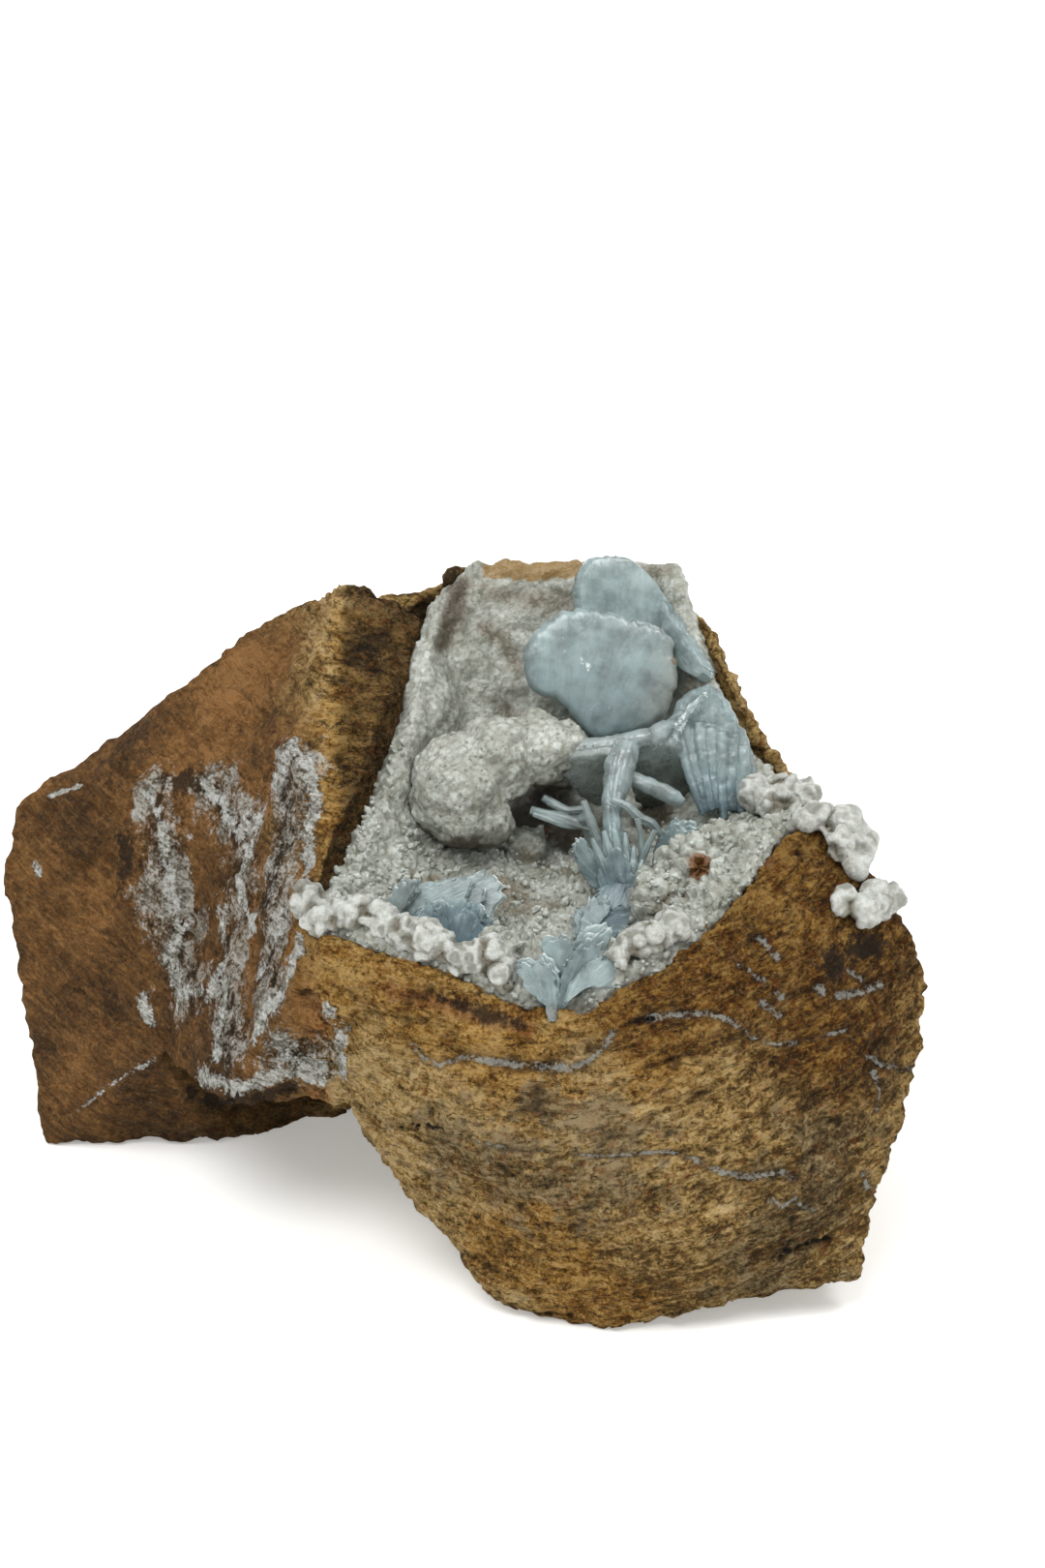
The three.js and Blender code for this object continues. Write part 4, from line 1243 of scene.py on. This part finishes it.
FAN_SHEETS = [
    Sheet(
        place=(10.8, -28.5, 41.5), face=(0.1, -0.9, 0.35), root=(572, 1050), thickness=1.6,
        layers=2, ribs=0.25, deep=0.35, milky=0.2,
        outline=[
            (562, 1002), (560, 976), (567, 968), (574, 970), (581, 965), (591, 972), (593, 990),
            (583, 1012), (574, 1022),
        ],
    ),
    Sheet(
        place=(8.6, -30.4, 40.1), face=(-0.35, -0.9, 0.2), root=(573, 1052), thickness=1.8,
        layers=3, ribs=0.2, deep=0.4,
        outline=[
            (573, 1042), (560, 1032), (547, 1020), (534, 1005), (532, 996), (543, 990), (550, 992),
            (556, 987), (567, 990), (575, 1004), (579, 1020), (579, 1036),
        ],
    ),
    Sheet(
        place=(12.5, -29, 40.9), face=(0.3, -0.8, 0.3), root=(571, 1056), thickness=1.9, layers=4,
        ribs=0.25, deep=0.4,
        outline=[
            (573, 1042), (571, 1020), (579, 1000), (587, 982), (599, 966), (606, 963), (609, 957),
            (620, 956), (633, 953), (634, 962), (631, 973), (626, 981), (615, 990), (604, 1004),
            (594, 1020), (587, 1034), (580, 1043),
        ],
    ),
    Sheet(
        place=(15.4, -29.8, 39), face=(0.4, -0.8, 0.5), root=(572, 1050), thickness=1.9, layers=3,
        ribs=0.2, deep=0.2, milky=0.2,
        outline=[
            (583, 1036), (592, 1026), (602, 1020), (612, 1018), (626, 1016), (640, 1019),
            (652, 1011), (656, 1001), (650, 993), (636, 986), (622, 986), (610, 990), (598, 1002),
            (588, 1016),
        ],
    ),
]

# Rods: the points they pass, each as x, y, z and radius
ARCH_RIDGE = [
    (9.6, 5.4, 52.8, 1.6), (12.2, 4.6, 53.9, 1.9), (14, 4.1, 54.1, 1.4), (16.3, 3.9, 54.8, 1),
    (18.6, 3.8, 55.1, 1.05), (20.3, 4.2, 55.3, 1.3), (21.8, 4.7, 55.4, 1.2),
    (23.1, 5.2, 55.3, 1.35), (24.3, 6, 55.8, 1.2), (25.4, 6.8, 56.5, 0.9), (26.2, 7.6, 57.3, 0.6),
]
ARCH_LUMP = [(22.4, 4.6, 54.2, 0.9), (23.2, 4.7, 56, 1.2), (24.4, 5.4, 56.9, 0.8)]
ARCH_COLUMN = [
    (19.6, 3.4, 55, 1.6), (18.6, 1, 53, 2), (17.8, -1.6, 50.8, 1.6), (17.5, -4, 49, 1.2),
    (17.8, -7, 46.6, 1.2), (18.6, -9, 44, 1.7), (19.4, -10, 41.4, 2.1),
]
ARCH_SIDE_ROD = [
    (18.4, 2.6, 51.6, 0.9), (21.4, 1.4, 51, 1), (24, 0.4, 50, 1.05), (25.6, -0.2, 49.4, 0.9),
    (26.2, -0.4, 49.2, 0.5),
]
GAP_RODS = [
    [(15, 0.6, 45.6, 0.6), (11.6, 1.4, 46.4, 0.65), (8, 2.4, 47, 0.5)],
    [(15.4, 2.6, 45, 0.6), (12.4, 2.8, 46.6, 0.6), (9.4, 3.2, 48.4, 0.45)],
    [(16, 2.4, 41.6, 1.2), (15.2, 1.6, 44.4, 1), (14.2, 0.6, 47, 0.7)],
]

# Bent crystals on a plane: the place and facing of the plane, and pixels with half the width there
FOLD_PLACE = (30.4, 3.1, 51.6)
FOLD_FACE = (-0.14, -0.86, 0.46)
CURTAIN_FOLDS = [
    [(698, 742, 4), (704, 772, 6), (712, 798, 5), (720, 822, 5), (727, 842, 3)],
    [(709, 744, 4), (714, 774, 5), (720, 800, 5), (728, 826, 4), (731, 838, 3)],
    [(722, 746, 5), (726, 778, 6), (730, 802, 5), (736, 838, 4)],
    [(735, 752, 5), (737, 782, 5), (738, 806, 4), (742, 832, 3)],
    [(746, 756, 5), (747, 784, 6), (746, 808, 5), (748, 846, 4)],
    [(758, 762, 5), (758, 790, 5), (755, 815, 5), (758, 838, 4)],
    [(769, 770, 4), (770, 796, 6), (766, 822, 5), (767, 842, 3)],
]
# A pale streak down the curtain's left edge, whitened as a painted highlight.
CURTAIN_EDGE = (
    (27.6, 5, 56), (-0.2, -0.88, 0.42),
    [(731, 716, 3), (720, 726, 4), (710, 738, 5), (701, 752, 5), (697, 764, 4)],
)
THIN_RODS = [
    (
        (15.6, -5, 47.5), (0, -0.95, 0.3),
        [(603, 827, 3.5), (611, 850, 5.5), (620, 872, 6.5), (632, 897, 7)],
    ),
    (
        (20.4, -5, 49.4), (0, -1, 0.1),
        [(632, 826, 4), (648, 832, 4.5), (661, 845, 5), (674, 850, 4.5), (684, 864, 3.5)],
    ),
    ((20.8, -6.4, 46.6), (0, -1, 0.1), [(659, 846, 3.5), (662, 862, 3), (664, 886, 4)]),
    ((21.4, -7, 45.4), (0, -1, 0.1), [(677, 858, 3), (669, 874, 3.5), (660, 896, 4.5)]),
    (
        (12.4, 1.2, 46.2), (0, -0.9, 0.4),
        [(551, 841, 3), (574, 849, 4.5), (592, 853, 4.5), (609, 853, 5)],
    ),
    ((12.4, 2.8, 47.6), (0, -0.9, 0.4), [(566, 829, 3), (586, 838, 4.5), (607, 836, 4)]),
]
SPRAY_PLACE = (19, -9.8, 43.6)
SPRAY_FACE = (-0.05, -0.9, 0.3)
SPRAY_LINES = [
    [(612, 866, 2), (621, 888, 6), (634, 922, 6)],
    [(624, 858, 2), (631, 884, 7), (640, 922, 6)],
    [(634, 850, 3), (639, 884, 7), (645, 922, 6)],
    [(646, 860, 2), (647, 886, 6), (648, 922, 6)],
    [(655, 874, 2), (654, 896, 6), (651, 922, 6)],
    [(664, 888, 2), (660, 904, 5), (654, 925, 5)],
    [(630, 872, 2), (634, 894, 5), (640, 922, 5)],
]
FAN_STUB = ((10.4, -32.4, 36.6), (0, -0.9, 0.4), [(570, 1030, 6), (570, 1044, 6), (571, 1055, 5)])


def sweep(shape, rings, rows):
    """A closed solid through rings of equally many points, with a row of values for each ring."""
    size = len(rings[0])
    faces = []
    for ring in range(len(rings) - 1):
        for i in range(size):
            after = (i + 1) % size
            first, second = ring * size, (ring + 1) * size
            faces.append((first + i, first + after, second + after, second + i))
    last = (len(rings) - 1) * size
    for i in range(size // 2 - 1):
        faces.append((i + 1, i, size - 1 - i, size - 2 - i))
        faces.append((last + i, last + i + 1, last + size - 2 - i, last + size - 1 - i))
    points = np.vstack(rings)
    a, b, c, d = points[np.array(faces)].transpose(1, 0, 2)
    if np.sum(a * (np.cross(b, c) + np.cross(c, d))) < 0:
        faces = [face[::-1] for face in faces]
    values = {}
    for name in rows[0]:
        values[name] = np.concatenate([np.broadcast_to(row[name], size) for row in rows])
    shape.add(points, faces, **values)


def path_stations(points):
    """How far along a line each of its points lies."""
    return np.concatenate([[0], np.cumsum(np.linalg.norm(np.diff(points, axis=0), axis=1))])


def even_loop(corners, count):
    """Evenly spaced points on a closed line, which is rounded a little at its corners."""
    closed = np.vstack([corners, corners[:1]])
    stations = path_stations(closed)
    steps = np.linspace(0, stations[-1], count, endpoint=False)
    loop = np.column_stack([np.interp(steps, stations, closed[:, i]) for i in range(3)])
    for _ in range(2):
        loop = (np.roll(loop, 1, axis=0) + 2 * loop + np.roll(loop, -1, axis=0)) / 4
    return loop


SHEET_SIDES = 112
SHEET_SHARES = (0.02, 0.1, 0.2, 0.3, 0.4, 0.5, 0.6, 0.7, 0.78, 0.85, 0.9, 0.93, 0.97, 1)
SHEET_RIM_THICKNESS = 0.3  # share of the thickness that is left at the rim
RIB_WIDTH = 0.6  # mm
WAVE_LENGTH = 3.5  # mm
SPOT_CORE = 0.4  # share of a spot's reach that it covers fully
PLATE_SEED_STEP = 0.37


def on_sheet(spec, pixel):
    return on_plane(pixel, np.array(spec.place) + CENTRE, unit(spec.face))


def sheet_spots(spec, listed):
    return [(*on_sheet(spec, pixel), reach) for pixel, reach in listed]


def reaches(loop, root):
    """The longest and the shortest distance from a root to a loop."""
    distances = np.linalg.norm(loop - root, axis=1)
    return distances.max(), distances.min()


def plate_rim(spec, loop, root, layer, seed):
    """A plate's ragged rim and its middle. Each plate ends a little short of the one behind."""
    reach, shortest = reaches(loop, root)
    stations = np.arange(SHEET_SIDES) * np.linalg.norm(loop[1] - loop[0])
    cut = spec.steps * layer * (1 + line_noise(stations * 0.3, seed))
    rim = loop + (root - loop) * (cut * (reach - shortest) / reach)[:, None]
    far = (np.linalg.norm(rim - root, axis=1) - shortest) / (reach - shortest)
    tooth = 0.7 - 3.5 * np.abs(line_noise(stations * 0.9, seed))
    tooth += 0.5 * line_noise(stations * 2.6, seed)
    tooth *= spec.ragged * (0.3 + far)
    middle = rim.mean(axis=0)
    outward = (rim - middle) / np.linalg.norm(rim - middle, axis=1)[:, None]
    return rim + tooth[:, None] * outward, middle


def sheet(shape, spec, seed):
    """Adds a flat crystal's plates, which lie on each other."""
    face = unit(spec.face)
    root = on_sheet(spec, spec.root)
    loop = even_loop([on_sheet(spec, pixel) for pixel in spec.outline], SHEET_SIDES)
    reach, shortest = reaches(loop, root)
    frost_and_glints = sheet_spots(spec, spec.frost_and_glints)
    rusty = sheet_spots(spec, spec.rusty)
    along = unit(loop.mean(axis=0) - root)
    aside = np.cross(face, along)
    thin = spec.thickness / spec.layers
    for layer in range(spec.layers):
        own_seed = seed + PLATE_SEED_STEP * layer
        rim, middle = plate_rim(spec, loop, root, layer, own_seed)
        level = (layer + 0.5) * thin - spec.thickness / 2
        fronts, backs, rows = [], [], []
        for share in SHEET_SHARES:
            ring = middle + (rim - middle) * share
            from_root = ring - root
            distance = np.linalg.norm(from_root, axis=1)
            far = (distance - shortest) / (reach - shortest)
            across = np.arctan2(from_root @ aside, from_root @ along) * 0.5 * (reach + shortest)
            wave = spec.wave * swells(ring, WAVE_LENGTH, 2, seed=own_seed)
            rib = spec.ribs * (0.3 + 0.7 * far) * line_noise(across / RIB_WIDTH, own_seed)
            lens = math.sqrt(max(0, 1 - share**2))
            dome = lens * spec.bulge + (1 - spec.bulge) * min(1, 14 * (1 - share))
            half = 0.55 * thin * (SHEET_RIM_THICKNESS + (1 - SHEET_RIM_THICKNESS) * dome)
            fronts.append(ring + np.outer(level + half + wave + rib * share, face))
            backs.append(ring + np.outer(level - half + wave, face))
            # painted highlight along the rim, strongest at the far end
            shine = smooth_step(share, 0.95, 1) * (0.2 + 0.8 * far) * (1 + line_noise(across, seed))
            # frosted spots and painted glints
            frost_and_highlight = 0.6 * spots(ring, frost_and_glints, SPOT_CORE)
            rows.append(dict(
                deep=spec.deep * (1.25 - 0.75 * far),
                milky=spec.milky,
                edge=spec.shine * shine + frost_and_highlight + spec.bright,
                dusty=np.clip(2.2 * spec.dust_side * (ring - middle) @ aside / reach, 0, 1),
                # painted shade
                murk=far * spec.murk,
                rusty=spots(ring, rusty, SPOT_CORE),
                fibrous=spec.fibrous,
                across=across,
                along=distance,
                plate=10 * own_seed,
            ))
        sweep(shape, fronts + backs[::-1], rows + rows[::-1])


def smooth_path(points, count):
    """Evenly spaced points with their radii along a bent line, and how far along it they lie."""
    passed = np.array(points, dtype=float)
    stations = path_stations(passed[:, :3])
    steps = np.linspace(0, stations[-1], count)
    path = np.column_stack([np.interp(steps, stations, passed[:, i]) for i in range(4)])
    for _ in range(8):
        path[1:-1] = (path[:-2] + 2 * path[1:-1] + path[2:]) / 4
    return path[:, :3], path[:, 3], steps


STRAND_STEPS = 40
STRAND_WIND = 1.2  # radians that a bundle's strands wind round its middle line
FIBRE_SEED_STEP = 0.21


def strand(
    shape, points, seed, share=1.0, turn=0.0, ribs=0.12, sides=20, deep=0.2, milky=0, bright=0
):
    """One bent crystal, or one fibre of a bundle that winds slowly round the bundle's middle line.

    A fibre's radius is a share of the bundle's, and its turn says where in the bundle it starts.
    """
    middle, radius, steps = smooth_path(points, STRAND_STEPS)
    uneven = 0.16 * line_noise(steps * 0.7, seed) + 0.08 * line_noise(steps * 2.1, seed + 0.2)
    radius = radius * (1 + uneven)
    direction = np.gradient(middle, axis=0)
    turns = np.arange(sides) * 2 * math.pi / sides
    round_ribs = line_noise(np.cos(turns) * 3, seed) + line_noise(np.sin(turns) * 4, seed + 0.5)
    rings, rows = [], []
    for i in range(STRAND_STEPS):
        done = i / STRAND_STEPS
        across = unit(np.cross(direction[i], OPENING))
        out = unit(np.cross(across, direction[i]))
        wind = turn + STRAND_WIND * done
        aside = (across * math.cos(wind) + out * math.sin(wind)) * radius[i] * (1 - share) * 0.9
        section = 1 + ribs * round_ribs + 0.06 * line_noise(turns + 0.6 * steps[i], seed + 0.9)
        circle = np.outer(np.cos(turns) * section, across) + np.outer(np.sin(turns) * section, out)
        rings.append(middle[i] + aside + circle * radius[i] * share)
        rows.append(dict(
            deep=deep * done,
            milky=milky * (1 - 0.6 * done),
            # whiter on the rib crests, plus a painted highlight
            edge=np.clip(2 * ribs * round_ribs, 0, 1) + bright,
            fibrous=0.6,
            across=np.abs(turns - math.pi) * radius[i],
            along=steps[i],
            plate=10 * seed,
        ))
    sweep(shape, rings, rows)


def bundle(shape, points, count, seed, **tints):
    """A bent crystal made of strands that lie side by side."""
    for number in range(count):
        turn = 2 * math.pi * number / count
        own_seed = seed + FIBRE_SEED_STEP * number
        strand(shape, points, own_seed, share=0.6, turn=turn, ribs=0.2, sides=9, **tints)


def thin_rod(shape, place, face, line, seed, **tints):
    """A strand along pixels of the photo, each with half its width, on the plane at a place."""
    place = np.array(place) + CENTRE
    face = unit(face)
    points = []
    for across, down, half_width in line:
        point = on_plane((across, down), place, face)
        pixel_size = np.linalg.norm(point - on_plane((across + 1, down), place, face))
        points.append((*point, half_width * pixel_size))
    strand(shape, points, seed, **tints)


def in_model(points):
    """A rod's points in the model."""
    return [(*(np.array(place) + CENTRE), radius) for *place, radius in points]


BARITE_CREASE = 32  # degrees
ARCH_VOXEL = 0.2
ARCH_ROUNDING = 4
ARCH_SWELLS = 0.16  # mm


def make_arch(material):
    drape = Shape()
    # painted highlights on the ridge, its lump, every other fold and the curtain's edge
    strand(drape, in_model(ARCH_RIDGE), seed=28, milky=0.8, bright=0.25)
    strand(drape, in_model(ARCH_LUMP), seed=29, milky=0.8, bright=0.1)
    bundle(drape, in_model(ARCH_COLUMN), 4, seed=31, milky=0.5, deep=0.9)
    strand(drape, in_model(ARCH_SIDE_ROD), seed=32, ribs=0.1, milky=0.7, deep=0.1)
    for seed, spec in enumerate([*ARCH_WEBS, CURTAIN], start=40):
        sheet(drape, spec, seed)
    for number, line in enumerate(CURTAIN_FOLDS):
        tints = dict(ribs=0.15, deep=0.9, milky=0.3, bright=0.25 * (number % 2))
        thin_rod(drape, FOLD_PLACE, FOLD_FACE, line, 45 + number, **tints)
    thin_rod(drape, *CURTAIN_EDGE, seed=50, ribs=0.1, bright=0.7)
    shape, normals = flowed_together(drape, ARCH_VOXEL, ARCH_ROUNDING)
    shape.points += normals * (ARCH_SWELLS * swells(shape.points, 1.6, 3, seed=51))[:, None]
    for seed, rod in enumerate(THIN_RODS, start=34):
        thin_rod(shape, *rod, seed, sides=7, milky=0.6, deep=0.4)
    for seed, spec in enumerate(SPRAY_SHEETS, start=52):
        sheet(shape, spec, seed)
    for number, line in enumerate(SPRAY_LINES):
        face = np.array(SPRAY_FACE) + (0, 0, 0.04 * number)
        # painted glints on some of the spray's crystals
        tints = dict(sides=6, deep=0.8, bright=0.1 + 0.1 * (number % 3))
        thin_rod(shape, SPRAY_PLACE, face, line, 130 + number, **tints)
    shape.piece("barite_arch", "barite", material, BARITE_CREASE)


def make_gap_blades(material):
    shape = Shape()
    for seed, points in enumerate(GAP_RODS, start=55):
        strand(shape, in_model(points), seed, ribs=0.15, milky=0.6, deep=0.3)
    shape.piece("barite_gap_blades", "barite", material, BARITE_CREASE)


def make_other_barite(material):
    groups = {
        "barite_rosette": [UPPER_DISC, WALL_STRIP, LARGE_DISC, DISC_BEVEL],
        "barite_mound_blades": MOUND_SHEETS,
        "barite_middle_cluster": MIDDLE_SHEETS,
        "barite_left_cluster": LEFT_SHEETS,
        "barite_front_fan": FAN_SHEETS,
    }
    for group, (node, specs) in enumerate(groups.items()):
        shape = Shape()
        for seed, spec in enumerate(specs, start=60 + 10 * group):
            sheet(shape, spec, seed)
        if node == "barite_front_fan":
            thin_rod(shape, *FAN_STUB, seed=120, milky=1.5)
        shape.piece(node, "barite", material, BARITE_CREASE)


# Studio
FLOOR_SIZE = 12  # metres
FLOOR_WHITE = (0.88, 0.88, 0.86)
FLOOR_GREY = (0.8, 0.8, 0.8)
FLOOR_GLOW = (1, 0.985, 0.94)
FLOOR_GLOW_STRENGTH = 0.32  # the floor is a softly lit table
SKY = (0.97, 0.98, 1, 1)
SKY_STRENGTH = 0.76
KEY_DIRECTION = (-0.3, -0.45, 1)  # from the specimen to the light
KEY_SPREAD = 35  # degrees
KEY_STRENGTH = 1.8
GLINT_PLACE = (0.35, -0.1, 0.7)  # metres
GLINT_AIM = (0, 0, 0.04)  # metres
GLINT_SIZE = 0.25  # metres
GLINT_POWER = 2


def make_floor():
    half = FLOOR_SIZE / 2
    mesh = bpy.data.meshes.new("floor")
    corners = [(-half, -half, 0), (half, -half, 0), (half, half, 0), (-half, half, 0)]
    mesh.from_pydata(corners, [], [(0, 1, 2, 3)])
    n = Nodes("floor")
    shade = n.noise(60, detail=2)
    colour = n.mix(n.step(shade, 0.3, 0.7, 0, 0.03), FLOOR_WHITE, FLOOR_GREY)
    glow = {"Emission_Color": FLOOR_GLOW, "Emission_Strength": FLOOR_GLOW_STRENGTH}
    mesh.materials.append(n.finish(Base_Color=colour, Roughness=0.7, **glow))
    add_object("floor", mesh)


def make_light(name, kind, energy, direction):
    """A light that shines from a direction."""
    light = add_object(name, bpy.data.lights.new(name, kind))
    light.data.energy = energy
    light.rotation_euler = Vector(direction).to_track_quat("Z", "Y").to_euler()
    return light


def make_studio():
    scene.world = bpy.data.worlds.new("studio")
    scene.world.use_nodes = True
    background = scene.world.node_tree.nodes["Background"]
    background.inputs["Color"].default_value = SKY
    background.inputs["Strength"].default_value = SKY_STRENGTH
    key = make_light("key", "SUN", KEY_STRENGTH, KEY_DIRECTION)
    key.data.angle = math.radians(KEY_SPREAD)
    glint = make_light("glint", "AREA", GLINT_POWER, Vector(GLINT_PLACE) - Vector(GLINT_AIM))
    glint.location = GLINT_PLACE
    glint.data.size = GLINT_SIZE
    scene.view_settings.view_transform = "Standard"


make_studio()
make_floor()
make_rock()
quartz = crystal_grain_material(
    "quartz", QUARTZ_GREY, QUARTZ_WHITE, roughness=0.32, crease_share=0.5
)
nodule = crystal_grain_material(
    "nodule", NODULE_GREY, NODULE_WHITE, roughness=0.45, crease_share=0.8
)
make_crust(quartz)
make_knob(quartz)
for seed, (node, lump) in enumerate(NODULES.items(), start=NODULE_SEED):
    make_nodules(node, lump, seed, nodule)
barite = barite_material()
make_arch(barite)
make_gap_blades(barite)
make_other_barite(barite)
